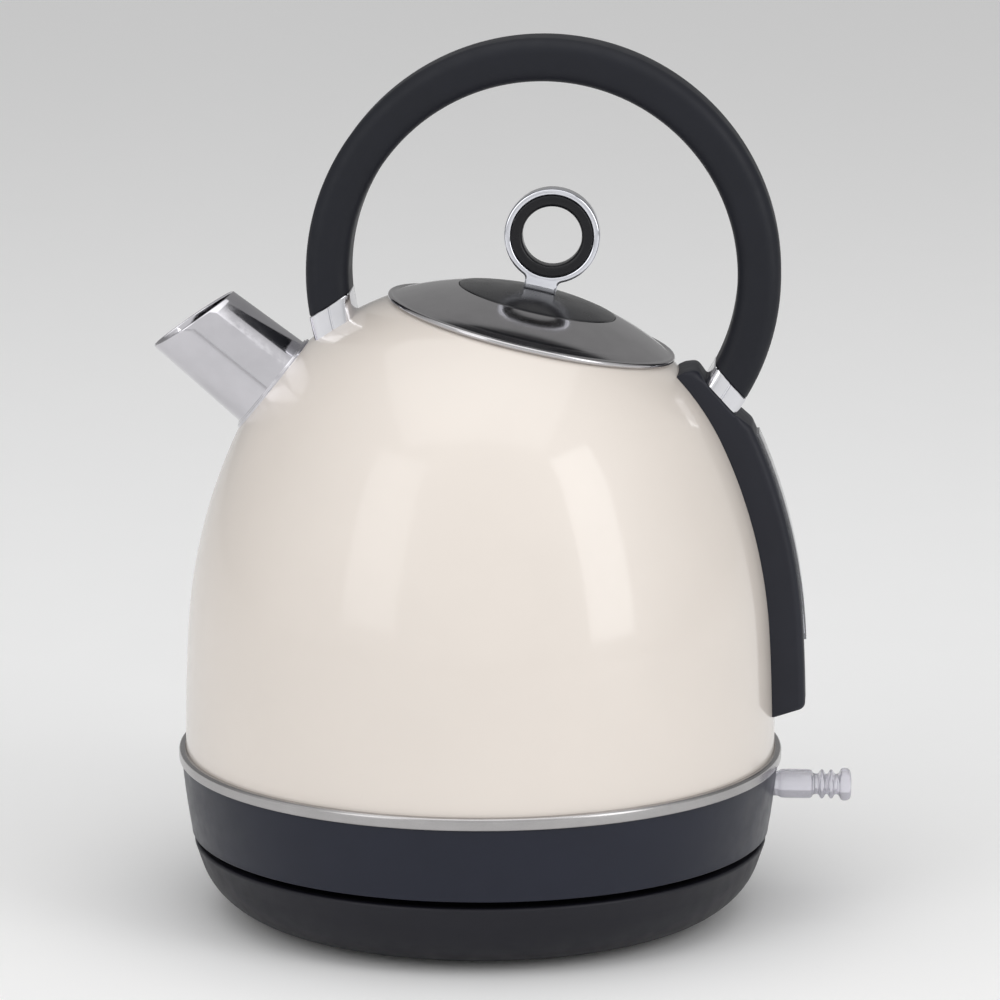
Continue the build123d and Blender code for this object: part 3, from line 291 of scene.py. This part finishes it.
# ---------------------------------------------------------------- materials
class Shader:
    """A procedural material under construction."""

    def __init__(self, name, color, roughness, metallic=0.0, **sockets):
        self.material = bpy.data.materials.new(name)
        self.material.use_nodes = True
        self.tree = self.material.node_tree
        self.surface = self.tree.nodes["Principled BSDF"]
        self.color = color
        self.set("Base Color", (*color, 1))
        self.set("Roughness", roughness)
        self.set("Metallic", metallic)
        for socket, value in sockets.items():
            self.set(socket.replace("_", " "), value)
        self.roughness = roughness
        self.place = self.tree.nodes.new("ShaderNodeTexCoord").outputs["Object"]

    def set(self, socket, value):
        self.surface.inputs[socket].default_value = value

    def vector_math(self, operation, first, second=None):
        """A vector operation on a socket and, where it takes two, a constant."""
        made = self.tree.nodes.new("ShaderNodeVectorMath")
        made.operation = operation
        self.tree.links.new(first, made.inputs[0])
        if second is not None:
            made.inputs[1].default_value = second
        return made.outputs

    def noise(self, scale, detail=2.0, place=None):
        """Noise with scale in cells per metre."""
        made = self.tree.nodes.new("ShaderNodeTexNoise")
        made.inputs["Scale"].default_value = scale
        made.inputs["Detail"].default_value = detail
        self.tree.links.new(place or self.place, made.inputs["Vector"])
        return made.outputs["Fac"]

    def radial(self, origin, axis):
        """Coordinates (distance from an axis, 0, distance along it), for turned brushing."""
        offset = self.vector_math("SUBTRACT", self.place, origin)["Vector"]
        along = self.vector_math("DOT_PRODUCT", offset, axis)["Value"]
        across = self.vector_math("CROSS_PRODUCT", offset, axis)["Vector"]
        joined = self.tree.nodes.new("ShaderNodeCombineXYZ")
        self.tree.links.new(self.vector_math("LENGTH", across)["Value"], joined.inputs["X"])
        self.tree.links.new(along, joined.inputs["Z"])
        return joined.outputs["Vector"]

    def vary_color(self, fac, amount):
        """The base colour drifts by a fraction with a texture."""
        ramp = self.tree.nodes.new("ShaderNodeValToRGB")
        ramp.color_ramp.elements[0].position = 0.3
        ramp.color_ramp.elements[1].position = 0.7
        low = [c * (1 - amount) for c in self.color]
        high = [min(c * (1 + amount), 1) for c in self.color]
        ramp.color_ramp.elements[0].color = (*low, 1)
        ramp.color_ramp.elements[1].color = (*high, 1)
        self.tree.links.new(fac, ramp.inputs["Fac"])
        self.tree.links.new(ramp.outputs["Color"], self.surface.inputs["Base Color"])

    def vary_roughness(self, fac, amount):
        """The roughness drifts either side of its own value with a texture."""
        ranged = self.tree.nodes.new("ShaderNodeMapRange")
        ranged.inputs["From Min"].default_value = 0.3
        ranged.inputs["From Max"].default_value = 0.7
        ranged.inputs["To Min"].default_value = max(self.roughness - amount, 0.01)
        ranged.inputs["To Max"].default_value = min(self.roughness + amount, 1)
        self.tree.links.new(fac, ranged.inputs["Value"])
        self.tree.links.new(ranged.outputs["Result"], self.surface.inputs["Roughness"])

    def bump(self, fac, depth, strength):
        """Relief of a given depth in metres."""
        made = self.tree.nodes.new("ShaderNodeBump")
        made.inputs["Strength"].default_value = strength
        made.inputs["Distance"].default_value = depth
        self.tree.links.new(fac, made.inputs["Height"])
        self.tree.links.new(made.outputs["Normal"], self.surface.inputs["Normal"])


def plastic(name, color, roughness, grain=2600, depth=3e-5, drift=0.06, **sockets):
    """Moulded plastic: fine spark-eroded grain, slow drift in colour and sheen."""
    made = Shader(name, color, roughness, **sockets)
    made.vary_color(made.noise(55, 3), drift)
    made.vary_roughness(made.noise(180, 4), 0.05)
    made.bump(made.noise(grain, 2), depth, 0.35)
    return made.material


def metal(name, color, roughness, place=None, lines=5200, depth=1e-5, drift=0.05):
    """Metal with fine lines along whatever the texture place leaves unchanged."""
    made = Shader(name, color, roughness, 1.0)
    place = place(made) if place else None
    made.vary_color(made.noise(90, 3), drift)
    made.vary_roughness(made.noise(lines * 0.6, 3, place), 0.05)
    made.bump(made.noise(lines, 2, place), depth, 0.25)
    return made.material


def clear(name, color, roughness, transmission=0.75):
    """Clear moulded plastic with faint flow marks."""
    made = Shader(name, color, roughness, Transmission_Weight=transmission, IOR=1.49)
    made.vary_color(made.noise(140, 3), 0.04)
    made.vary_roughness(made.noise(500, 3), 0.04)
    made.bump(made.noise(420, 2), 6e-5, 0.3)
    return made.material


def enamel():
    """Cream lacquer on steel: soft gloss under a clear coat with faint orange peel."""
    made = Shader(
        "cream_enamel",
        (0.715, 0.655, 0.600),
        0.38,
        Coat_Weight=0.75,
        Coat_Roughness=0.09,
        Specular_IOR_Level=0.5,
    )
    made.vary_color(made.noise(28, 3), 0.012)
    made.vary_roughness(made.noise(240, 3), 0.03)
    made.bump(made.noise(700, 2), 1.2e-5, 0.25)
    return made.material


def about(origin, axis):
    """Texture place for brushing round an axis."""
    return lambda shader: shader.radial(tuple(origin), tuple(axis))


DULL = {"Specular_IOR_Level": 0.28}

MATERIALS = {
    "cream_paint": enamel(),
    "black_base": plastic("base_plastic", (0.010, 0.010, 0.015), 0.46, **DULL),
    "black_collar": plastic("collar_plastic", (0.011, 0.013, 0.024), 0.34, **DULL),
    "black_handle": plastic("handle_plastic", (0.007, 0.008, 0.013), 0.52, grain=3200, **DULL),
    "black_spine": plastic("spine_plastic", (0.013, 0.014, 0.021), 0.46, **DULL),
    "black_gloss": plastic("gloss_plastic", (0.008, 0.008, 0.010), 0.26, depth=1e-5, **DULL),
    "disc": plastic("disc_plastic", (0.008, 0.008, 0.010), 0.24, depth=1e-5),
    "inner_plastic": plastic("inner_plastic", (0.10, 0.10, 0.11), 0.5),
    "steel": metal("band_steel", (0.42, 0.41, 0.41), 0.24, about((0, 0, 0), (0, 0, 1))),
    "inner_steel": metal("inner_steel", (0.58, 0.57, 0.56), 0.30, about((0, 0, 0), (0, 0, 1))),
    "lid_steel": metal(
        "lid_steel", (0.50, 0.49, 0.50), 0.13, about(lid_origin * MM, lid_axis), 3600, 5e-6
    ),
    "polished_steel": metal("polished_steel", (0.60, 0.59, 0.62), 0.10, None, 900, 5e-6),
    "chrome": metal("chrome", (0.72, 0.73, 0.78), 0.06, None, 400, 4e-6, 0.02),
    "cuff": metal("cuff_steel", (0.74, 0.74, 0.77), 0.09, None, 1200, 5e-6),
    "aluminium": metal("aluminium", (0.70, 0.70, 0.71), 0.42, None, 1500, 4e-5),
    "brass": metal("brass", (0.72, 0.54, 0.26), 0.26, None, 2200),
    "screw_steel": metal("screw_steel", (0.44, 0.44, 0.46), 0.34, None, 2600),
    "rubber": plastic("rubber", (0.035, 0.035, 0.038), 0.78, grain=1800, depth=6e-5),
    "silicone": plastic("silicone", (0.62, 0.62, 0.61), 0.55, Subsurface_Weight=0.15),
    "clear": clear("clear_plastic", (0.86, 0.85, 0.92), 0.18),
    "gauge_clear": clear("gauge_plastic", (0.80, 0.81, 0.86), 0.10, 0.85),
    "mesh": plastic("nylon_mesh", (0.74, 0.74, 0.71), 0.5),
}


def finish(piece, body, nodes, slot, material=None):
    """Gives a new piece its body and its material (the slot's, unless another is named), and hides the CAD nodes
    it stands in for.
    """
    piece.data.materials.clear()
    piece.data.materials.append(MATERIALS[material or slot])
    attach(piece, body)
    if nodes:
        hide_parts(*nodes)


# Every CAD node starts with the finish of its own slot.
for subpart in frame["record"]["subparts"]:
    node = NODES[subpart["node"]]
    node.data.materials.clear()
    node.data.materials.append(MATERIALS[subpart["material_slot"]])


# ---------------------------------------------------------------- body
lid_opening_radius = lid_circle_radius - 0.75


def tube(name, radius, start, end, matrix):
    """A plain round cutting tool along the frame's own Z."""
    return lathe(name, [(0, start), (radius, start), (radius, end), (0, end)], matrix, 128)


def shell_piece():
    """Body shell with its lid, spout and gauge openings, steel inside and cream outside."""
    foot_z = shell_low.z
    outside = [(body_radius, foot_z)] + dome_outline(0)
    inside = [(body_radius - body_wall, foot_z)] + dome_outline(body_wall)
    outside[-1] = (0, crown_z + crown_radius)
    inside[-1] = (0, crown_z + crown_radius - body_wall)
    shell = lathe("shell", outside + inside[::-1], segments=224)
    slot_z = (gauge_low.z + gauge_high.z) / 2
    slot = rounded([(-2.5, -22, 2.5), (2.5, -22, 2.5), (2.5, 22, 2.5), (-2.5, 22, 2.5)])
    reach = (body_radius - 40, body_radius + 20)
    gauge_cut = loft("gauge_cut", [[(x, y, z + slot_z) for y, z in slot] for x in reach])
    cutters = [
        tube("lid_cut", lid_opening_radius, -12, 20, LID),
        tube("spout_cut", spout_root_radius + 0.3, crown_radius - 10, crown_radius + 10, SPOUT),
        gauge_cut,
    ]
    carve(shell, cutters)
    finish(shell, "jug", ["body_shell"], "cream_paint")
    shell.data.materials.append(MATERIALS["inner_steel"])
    centre = Vector((0, 0, crown_z)) * MM
    for face in shell.data.polygons:
        away = Vector((face.center.x, face.center.y, max(face.center.z - centre.z, 0)))
        face.material_index = 0 if face.normal.dot(away) > 0.3 * away.length else 1


shell_piece()

# ---------------------------------------------------------------- jug foot
collar_top_radius = body_radius + 1.21
collar_foot_radius = collar_top_radius - 2.84
collar_wall = 2.4


def collar_piece():
    """Satin collar under the band, its lower edge softened, with the switch's opening."""
    foot, top = collar_low.z, collar_high.z
    bow = 0.25
    flare = collar_top_radius - collar_foot_radius
    side = []
    for k in range(15):
        t = k / 14
        x = collar_foot_radius + flare * t + 4 * bow * t * (1 - t)
        side.append((x, foot + 0.9 + (top - foot - 1.5) * t))
    outline = (
        [(collar_foot_radius - collar_wall, foot + 0.5)]
        + rounded(
            [(collar_foot_radius - collar_wall, foot, 0.3), (side[0][0], foot, 0.8), (*side[0], 0)],
            closed=False,
        )[1:]
        + side[1:]
        + rounded(
            [(*side[-1], 0), (side[-1][0] + 0.02, top, 0.5), (body_radius - 10, top, 0)],
            closed=False,
        )[1:]
        + [(body_radius - 10, top - 2.2), (collar_top_radius - collar_wall - 0.3, top - 2.2)]
    )
    collar = lathe("collar", outline, segments=224)
    lever_z = (lever_low.z + lever_high.z) / 2
    opening = rounded(
        [(-6.6, lever_z - 8.2, 2.4), (6.6, lever_z - 8.2, 2.4), (6.6, lever_z + 5.1, 2.4),
         (-6.6, lever_z + 5.1, 2.4)]
    )
    cut = loft("slot_cut", [[(x, y, z) for y, z in opening] for x in (collar_top_radius - 12, 110)])
    carve(collar, [cut])
    finish(collar, "jug", ["lower_collar"], "black_collar")


collar_piece()

band = lathe(
    "band",
    rounded([
        (body_radius + 0.05, band_low.z, 0),
        (body_radius + 2.21, band_low.z, 0.8),
        (body_radius + 2.21, band_high.z, 1.2),
        (body_radius + 0.05, band_high.z, 0.35),
    ]),
    segments=224,
)
finish(band, "jug", ["trim_band"], "steel")

# ---------------------------------------------------------------- lid
lid_radius = 94.0
cap_radius, cap_proud, cap_thickness = 24.8, 0.15, 1.85
cap_outer = lid_radius + cap_proud
cap_seat = cap_outer - cap_thickness
bead_radius = 0.88
lid_rim_radius = lid_circle_radius + 1.53
bead_centre = lid_rim_radius - bead_radius
bead_height = sqrt((crown_radius + 1.05) ** 2 - bead_centre**2) - lid_rise
cover_drop = sqrt(lid_radius**2 - bead_centre**2) - bead_height


def crown_line(radius, start, end, steps):
    """Points on a sphere round the lid curve's centre, in the lid's own (radius, height)."""
    points = []
    for k in range(steps + 1):
        r = start + (end - start) * k / steps
        points.append((r, sqrt(radius**2 - r**2) - cover_drop))
    return points


def lid_pieces():
    """Polished lid cover with a rolled rim, and the dark disc let into it."""
    edge = cap_radius + 0.12
    pan = crown_line(cap_seat - 0.02, 0, edge, 14)
    lip = sqrt(lid_radius**2 - edge**2) - cover_drop
    top = [(edge, lip - 0.3), (edge + 0.08, lip - 0.12), (edge + 0.25, lip - 0.07)]
    top += crown_line(lid_radius, edge + 0.5, bead_centre - 1.15, 50)
    roll = arc((bead_centre, bead_height - 0.1), bead_radius, 128, -160, 24)
    under = crown_line(lid_radius - 0.7, bead_centre - 1.1, edge + 0.75, 24)
    pan_under = crown_line(cap_seat - 0.72, edge + 0.75, 0, 14)
    cover = lathe("lid_skin", pan + top + roll + under + pan_under, LID, 256)
    finish(cover, "lid", ["lid_cover"], "polished_steel", "lid_steel")
    face = crown_line(cap_outer, 0, cap_radius - 0.6, 30)
    rim = sqrt(cap_outer**2 - cap_radius**2) - cover_drop
    profile = (
        face
        + [(cap_radius - 0.3, rim + 0.06), (cap_radius - 0.08, rim - 0.08), (cap_radius, rim - 0.35)]
        + crown_line(cap_seat, cap_radius, 0, 10)
    )
    cap = lathe("lid_disc", profile, LID, 192)
    finish(cap, "lid", ["lid_cap"], "black_gloss", "disc")


lid_pieces()

knob_ring_radius, knob_insert_radius, knob_hole_radius = 14.8, 12.7, 9.2


def knob_pieces():
    """Chrome ring with a filleted neck, and the dark insert inside it."""
    foot_h = cap_outer - cover_drop - 0.25
    half, fillet = 5.1, 1.8
    drop = sqrt((knob_ring_radius + fillet) ** 2 - (half + fillet) ** 2)
    join = degrees(atan2(drop, half + fillet))
    bend = knob_height - drop
    outline = (
        arc((0, knob_height), knob_ring_radius, -join, 180 + join, 110)
        + arc((-half - fillet, bend), fillet, join, 0, 8)[1:]
        + [(-half, foot_h), (half, foot_h)]
        + arc((half + fillet, bend), fillet, 180, 180 - join, 8)[:-1]
    )
    hole = arc((0, knob_height), knob_insert_radius, 0, 360 - 3, 119)
    ring = slab("knob_hoop", [outline, hole], 3.5, 0.75, LID)
    finish(ring, "lid", ["knob_ring"], "chrome")
    rim = rounded([
        (knob_insert_radius - 0.03, -3.7, 0.5),
        (knob_insert_radius - 0.03, 3.7, 0.5),
        (knob_hole_radius, 3.7, 1.3),
        (knob_hole_radius, -3.7, 1.3),
    ])
    ring_frame = turned_frame(
        lid_origin + lid_axis * knob_height, lid_side, Vector((0, -1, 0))
    )
    insert = lathe("knob_grip", rim, ring_frame, 128)
    finish(insert, "lid", ["knob_insert"], "black_gloss")


knob_pieces()

# ---------------------------------------------------------------- hoop handle
hoop_meet = degrees(
    acos((crown_radius**2 - hoop_offset**2 - hoop_middle**2) / (2 * hoop_offset * hoop_middle))
)
meet_turn = degrees(asin(hoop_middle * sin(radians(hoop_meet)) / crown_radius))
seat_turn = meet_turn - 9.9
front_rise, seat_rise, rear_rise = 6.3, 4.6, 10.3


def hoop_end(radius, turn, rise):
    """Where a circle of the hoop crosses a plane over the dome, as a hoop angle."""
    reach = crown_radius + rise - hoop_offset * cos(radians(turn))
    return turn + degrees(acos(reach / radius))


def hoop_place(radius, angle, y):
    """A point of the hoop, its angle counted from the lid's axis towards -X."""
    turn = radians(90 - lid_angle + angle)
    return hoop_centre + Vector((cos(turn) * radius, y, sin(turn) * radius))


def hoop_section(grow, corner, seam=False):
    """The hoop's section as (radius, y) points, with a fine seam on its side faces."""
    inner, outer, half = hoop_inner - grow, hoop_outer + grow, hoop_half_width + grow
    if not seam:
        return rounded([(inner, -half, corner), (outer, -half, corner), (outer, half, corner),
                        (inner, half, corner)], steps=7)
    lip, deep = 0.36, 0.5
    corners = []
    for side, order in ((-1, 1), (1, -1)):
        corners += [
            (inner if order > 0 else outer, side * half, corner),
            (hoop_middle - lip * order, side * half, 0),
            (hoop_middle - 0.5 * lip * order, side * (half - deep), 0),
            (hoop_middle + 0.5 * lip * order, side * (half - deep), 0),
            (hoop_middle + lip * order, side * half, 0),
            (outer if order > 0 else inner, side * half, corner),
        ]
    return rounded(corners, steps=7)


def hoop_sweep(name, section, ends, steps, soften):
    """Sweeps a section round the hoop; ends gives each line's two end angles."""
    rings = []
    for k in range(-1, steps + 2):
        shrink = soften if k in (-1, steps + 1) else 0
        t = min(max(k, 0), steps) / steps
        ring = []
        for r, y in section:
            low, high = ends(r, y)
            angle = low + (high - low) * t
            inset = degrees(soften / hoop_middle) * (1 if high > low else -1)
            if k == 0:
                angle += inset
            if k == steps:
                angle -= inset
            pull = shrink / max(hypot(r - hoop_middle, y), 1e-6)
            ring.append(hoop_place(r + (hoop_middle - r) * pull, angle, y * (1 - pull)))
        rings.append(ring)
    return loft(name, rings, sharp=36)


def dome_end(r, y):
    """Angle at which a line of the hoop reaches the dome."""
    cosine = (crown_radius**2 - hoop_offset**2 - r**2 - y**2) / (2 * hoop_offset * r)
    return degrees(acos(cosine))


def handle_pieces():
    """Dark grip and the polished sleeves at its ends, cut to lie along the dome."""

    def front(r):
        return hoop_end(r, meet_turn, front_rise)

    def rear(r, rise):
        return -hoop_end(r, seat_turn, rise)

    grip = hoop_sweep(
        "grip", hoop_section(0, 4.5), lambda r, y: (rear(r, rear_rise), front(r)), 150, 0.35
    )
    finish(grip, "jug", ["handle_grip"], "black_handle")
    cuff = hoop_section(0.1, 4.2, True)
    front_cuff = hoop_sweep(
        "front_cuff", cuff, lambda r, y: (front(r) + 0.07, dome_end(r, y) + 0.25), 14, 0.25
    )
    finish(front_cuff, "jug", ["front_sleeve"], "chrome", "cuff")
    rear_cuff = hoop_sweep(
        "rear_cuff", cuff, lambda r, y: (rear(r, rear_rise) - 0.07, rear(r, seat_rise)), 8, 0.25
    )
    finish(rear_cuff, "jug", ["rear_sleeve"], "chrome", "cuff")


handle_pieces()


# ---------------------------------------------------------------- spine and gauge
spine_rise = 9.6


def flat_line(points, low, high):
    """The points of an outline that lie well between two heights."""
    return [p for p in points if low + 0.3 < p[1] < high - 0.3]


def dome_place(z=None, angle=None):
    """A point of the dome's XZ outline and its outward normal, by height or crown angle."""
    if angle is not None:
        out = Vector((cos(radians(angle)), 0, sin(radians(angle))))
        return Vector((0, 0, crown_z)) + out * crown_radius, out
    here = Vector((dome_radius(z), 0, z))
    if z >= crown_z + crown_radius * sin(radians(crown_start)):
        return here, (here - Vector((0, 0, crown_z))).normalized()
    if z >= side_centre[1] + side_radius * sin(radians(side_turn)):
        return here, (here - Vector((shoulder_centre[0], 0, shoulder_centre[1]))).normalized()
    return here, (here - Vector((side_centre[0], 0, side_centre[1]))).normalized()


def spine_ring(place, height, corner):
    """One section of the spine, square to the dome: (side walls, rounded corners, face)."""
    half = spine_half
    here, out = place
    turn_radius = here.x / max(out.x, 0.2)
    ring = []
    for y in (half - 2 * half * k / 12 for k in range(13)):
        ring.append((sqrt(turn_radius**2 - y * y) - turn_radius - 0.25, y))
    corner = max(min(corner, height * 0.55), 0.2)
    sink = ring[-1][0]
    top = rounded(
        [(sink, -half, 0), (height, -half + 0.15, corner), (height + 0.25, 0, 0),
         (height, half - 0.15, corner), (sink, half, 0)],
        closed=False, steps=8,
    )
    ring += top[1:-1]
    return [here + out * h + Vector((0, y, 0)) for h, y in ring]


spine_half, spine_edge, seat_edge = 11.5, 2.6, 0.9
spine_split_z = 146.0


def spine_piece():
    """Spine cover: follows the dome, and ends in the handle's seat and a rounded lip."""
    foot = rounded(
        [(64.2, 0.1, 0), (66.6, spine_rise, 2.2), (90, spine_rise, 0)], closed=False, steps=8
    )
    stations = [(dome_place(z=z), height, spine_edge) for z, height in foot[:-1]]
    start = foot[-2][0]
    for k in range(1, 29):
        z = start + (spine_split_z - start) * k / 28
        stations.append((dome_place(z=z), spine_rise, spine_edge))
    scale = radians(1) * crown_radius
    seat = []
    for radius in (hoop_outer + 0.1, hoop_inner - 0.1):
        spot = hoop_place(radius, -hoop_end(radius, seat_turn, seat_rise), 0)
        turn = degrees(atan2(spot.z - crown_z, spot.x))
        seat.append((turn, hypot(spot.x, spot.z - crown_z) - crown_radius))
    first = degrees(asin((spine_split_z - crown_z) / crown_radius))
    corners = [
        (first, spine_rise, 0),
        (seat[0][0] - 3.4, spine_rise, 3),
        (seat[0][0] - 0.3, seat[0][1] + 0.55, 0.8),
        (seat[0][0] + 0.1, seat[0][1] - 0.05, 0.2),
        (*seat[1], 0.5),
        (41.3, 5.3, 2.4),
        (42.6, 2.0, 2.0),
        (43.0, 0.0, 0),
    ]
    line = rounded([(a * scale, h, r) for a, h, r in corners], closed=False, steps=7)
    for along, height in line[1:]:
        on_seat = seat[0][0] - 1 < along / scale < seat[1][0] + 0.3
        edge = seat_edge if on_seat else spine_edge
        stations.append((dome_place(angle=along / scale), height, edge))
    rings = [spine_ring(*station) for station in stations]
    spine = loft("spine", rings, sharp=34)
    finish(spine, "jug", ["spine_cover"], "black_spine")


spine_piece()


def gauge_piece():
    """Frosted window strip standing a little proud of the spine."""
    low, high = gauge_low.z, gauge_high.z
    face, back = spine_rise + 1.0, spine_rise - 0.6
    outline = (
        [(dome_radius(low) + back, low), (dome_radius(low) + face, low)]
        + flat_line(dome_outline(-face, 60), low, high)
        + [(crown_line_x(high, face), high), (crown_line_x(high, back), high)]
        + flat_line(dome_outline(-back, 60), low, high)[::-1]
    )
    strip = slab("gauge", [outline], 6.0, 0.45)
    finish(strip, "jug", ["gauge_window"], "clear", "gauge_clear")


def crown_line_x(z, rise):
    """The XZ outline's distance from the axis at height z, rise above the crown."""
    return sqrt((crown_radius + rise) ** 2 - (z - crown_z) ** 2)


gauge_piece()


# ---------------------------------------------------------------- switch
def switch_piece():
    """Clear lever: neck, soft block, waist with two ribs and a rounded end."""
    level = (lever_low.z + lever_high.z) / 2
    edge = collar_top_radius
    end = edge + 23.2
    step = (end - 3.5 - (edge + 11.0)) / 3
    first, second = edge + 11.0 + step, edge + 11.0 + 2 * step
    stations = [
        (edge - 18.0, 1.6, 4.6), (edge - 17.2, 2.9, 5.2), (edge - 14.0, 3.6, 5.4),
        (edge - 10.8, 3.2, 5.4), (edge - 4.0, 3.1, 5.2), (edge - 0.6, 3.2, 4.8),
        (edge + 0.4, 3.3, 4.8), (edge + 0.8, 3.75, 5.2), (edge + 1.4, 3.9, 5.3),
        (edge + 5.5, 3.9, 5.3), (edge + 9.9, 3.9, 5.3), (edge + 10.6, 3.75, 5.2),
        (edge + 10.9, 3.2, 4.7), (edge + 11.2, 2.65, 4.2),
        (first - 1.1, 2.6, 4.0), (first - 0.85, 3.2, 4.5), (first - 0.4, 4.1, 5.0),
        (first + 0.4, 4.1, 5.0), (first + 0.85, 3.2, 4.5), (first + 1.1, 2.6, 4.0),
        (second - 1.1, 2.6, 4.0), (second - 0.85, 3.2, 4.5), (second - 0.4, 4.1, 5.0),
        (second + 0.4, 4.1, 5.0), (second + 0.85, 3.2, 4.5), (second + 1.1, 2.6, 4.0),
        (end - 4.0, 2.6, 4.1), (end - 3.7, 3.8, 4.8), (end - 3.2, 4.6, 5.2),
        (end - 1.9, 4.7, 5.3), (end - 0.8, 4.4, 5.1), (end - 0.25, 3.7, 4.5), (end, 2.5, 3.4),
    ]
    rings = []
    for x, high, wide in stations:
        bend = min(high, wide) * 0.62
        outline = rounded(
            [(-wide, -high, bend), (wide, -high, bend), (wide, high, bend), (-wide, high, bend)],
            steps=7,
        )
        rings.append([(x, y, level + z) for y, z in outline])
    lever = loft("switch", rings, sharp=48)
    smooth = lever.modifiers.new("smooth", "SUBSURF")
    smooth.levels = smooth.render_levels = 1
    peg_x = edge - 24
    tail = rounded([(-6, -1.6, 0.6), (-2, -1.6, 0.6), (-2, 1.6, 0.6), (-6, 1.6, 0.6)])
    arm = loft("switch_tail", [[(x, y, level + z) for y, z in tail] for x in (peg_x, edge - 17)])
    peg_frame = Matrix.Rotation(-pi / 2, 4, "X")
    peg_frame.translation = Vector((peg_x, 0, level))
    peg = lathe("switch_peg", [(0, -6), (1.2, -6), (1.2, 4.8), (1.0, 5.0), (0, 5.0)], peg_frame, 32)
    finish(lever, "lever", ["switch_lever"], "clear")
    finish(arm, "lever", [], "clear")
    finish(peg, "lever", [], "clear")


switch_piece()


# ---------------------------------------------------------------- spout
spout_root = crown_radius - spout_tuck
spout_mouth = crown_radius + spout_reach
spout_slope = (spout_root_radius - spout_tip_radius) / spout_reach


def spout_radius(height):
    """The spout's outer radius at a distance from the crown's centre."""
    return spout_root_radius - spout_slope * (height - spout_root)


def spout_outline(turn):
    """The spout's wall in one direction, cut off at the slanted mouth with a round rim."""
    lean = tan(spout_cut)
    along = spout_mouth
    for _ in range(4):
        along = spout_mouth - spout_radius(along) * cos(turn) * lean
    steps = 20
    wall = [
        (spout_radius(h), h)
        for h in (spout_root + (along - 0.5 - spout_root) * k / steps for k in range(steps + 1))
    ]
    tip = spout_radius(along) - spout_wall / 2
    rim = [
        (tip + spout_wall / 2 * cos(a), along - 0.5 + 0.5 * sin(a))
        for a in (pi * k / 8 for k in range(1, 8))
    ]
    inner = [(r - spout_wall, h) for r, h in wall[::-1]]
    return wall + rim + inner


def spout_pieces():
    """Spout tube with its slanted mouth, and the thin double ring round its root."""
    rings = []
    for turn in (2 * pi * k / 192 for k in range(192)):
        rings.append([(r * cos(turn), r * sin(turn), h) for r, h in spout_outline(turn)])
    spout = loft("spout", rings, closed=True, matrix=SPOUT)
    finish(spout, "jug", ["spout_tube"], "polished_steel")
    outer, inner = spout_root_radius + 1.45, spout_root_radius + 0.05
    top = sqrt(crown_radius**2 - outer**2)
    ring = [(inner, top - 0.4), (outer, top - 0.4)]
    ring += rounded(
        [
            (outer, top - 0.2, 0),
            (outer, top + 0.75, 0.3),
            (outer - 0.55, top + 0.75, 0.25),
            (outer - 0.6, top + 0.55, 0.05),
            (outer - 0.75, top + 0.55, 0.05),
            (outer - 0.8, top + 1.15, 0.3),
            (inner, top + 1.25, 0.3),
            (inner, top, 0),
        ],
        closed=False,
    )
    flange = lathe("spout_rings", ring, SPOUT, 192, sharp=36)
    finish(flange, "jug", ["spout_flange"], "polished_steel")


spout_pieces()

# ---------------------------------------------------------------- stage
floor_mesh = bpy.data.meshes.new("floor")
reach = 6.0
floor_mesh.from_pydata(
    [(-reach, -reach, 0), (reach, -reach, 0), (reach, reach, 0), (-reach, reach, 0)], [], [(0, 1, 2, 3)]
)
floor = bpy.data.objects.new("floor", floor_mesh)
bpy.context.scene.collection.objects.link(floor)
pale = Shader("pale_floor", (0.93, 0.93, 0.93), 0.75)
pale.vary_roughness(pale.noise(30, 3), 0.04)
floor_mesh.materials.append(pale.material)

world = bpy.data.worlds.new("studio")
world.use_nodes = True
tree = world.node_tree
room = tree.nodes["Background"]
room.inputs["Color"].default_value = (1, 1, 1, 1)
# The room is bright in front of the kettle and dimmer behind it.
way = tree.nodes.new("ShaderNodeSeparateXYZ")
tree.links.new(tree.nodes.new("ShaderNodeTexCoord").outputs["Generated"], way.inputs[0])
depth = tree.nodes.new("ShaderNodeMapRange")
depth.interpolation_type = "SMOOTHSTEP"
depth.inputs["From Min"].default_value = -0.35
depth.inputs["From Max"].default_value = 0.45
depth.inputs["To Min"].default_value = 0.86
depth.inputs["To Max"].default_value = 0.32
tree.links.new(way.outputs["Y"], depth.inputs["Value"])
tree.links.new(depth.outputs["Result"], room.inputs["Strength"])
bpy.context.scene.world = world


def softbox(name, place, size, target, watts):
    """A rectangular soft light aimed at a point."""
    light = bpy.data.lights.new(name, "AREA")
    light.shape = "RECTANGLE"
    light.size, light.size_y = size
    light.energy = watts
    holder = bpy.data.objects.new(name, light)
    holder.location = place
    holder.rotation_euler = (Vector(target) - Vector(place)).to_track_quat("-Z", "Y").to_euler()
    bpy.context.scene.collection.objects.link(holder)


middle = (0, 0, 0.13)
softbox("key_left", (-1.1, -1.3, 0.9), (0.75, 1.4), middle, 4)
softbox("key_right", (1.3, -0.9, 0.8), (0.6, 1.4), middle, 6)
softbox("top", (0.0, -0.1, 1.6), (1.7, 1.7), middle, 8)

bpy.context.scene.view_settings.view_transform = "Standard"

view = bpy.data.cameras.new("camera")
view.lens = 172.8
view.sensor_width = 36
view.shift_x = 0.0198
view.clip_end = 50
camera = bpy.data.objects.new("camera", view)
camera.location = (0.0899, -1.4699, 0.4251)
swing, pitch = radians(3.5), radians(11.334)
aim = Vector((-sin(swing) * cos(pitch), cos(swing) * cos(pitch), -sin(pitch)))
camera.rotation_euler = aim.to_track_quat("-Z", "Y").to_euler()
bpy.context.scene.collection.objects.link(camera)
bpy.context.scene.camera = camera
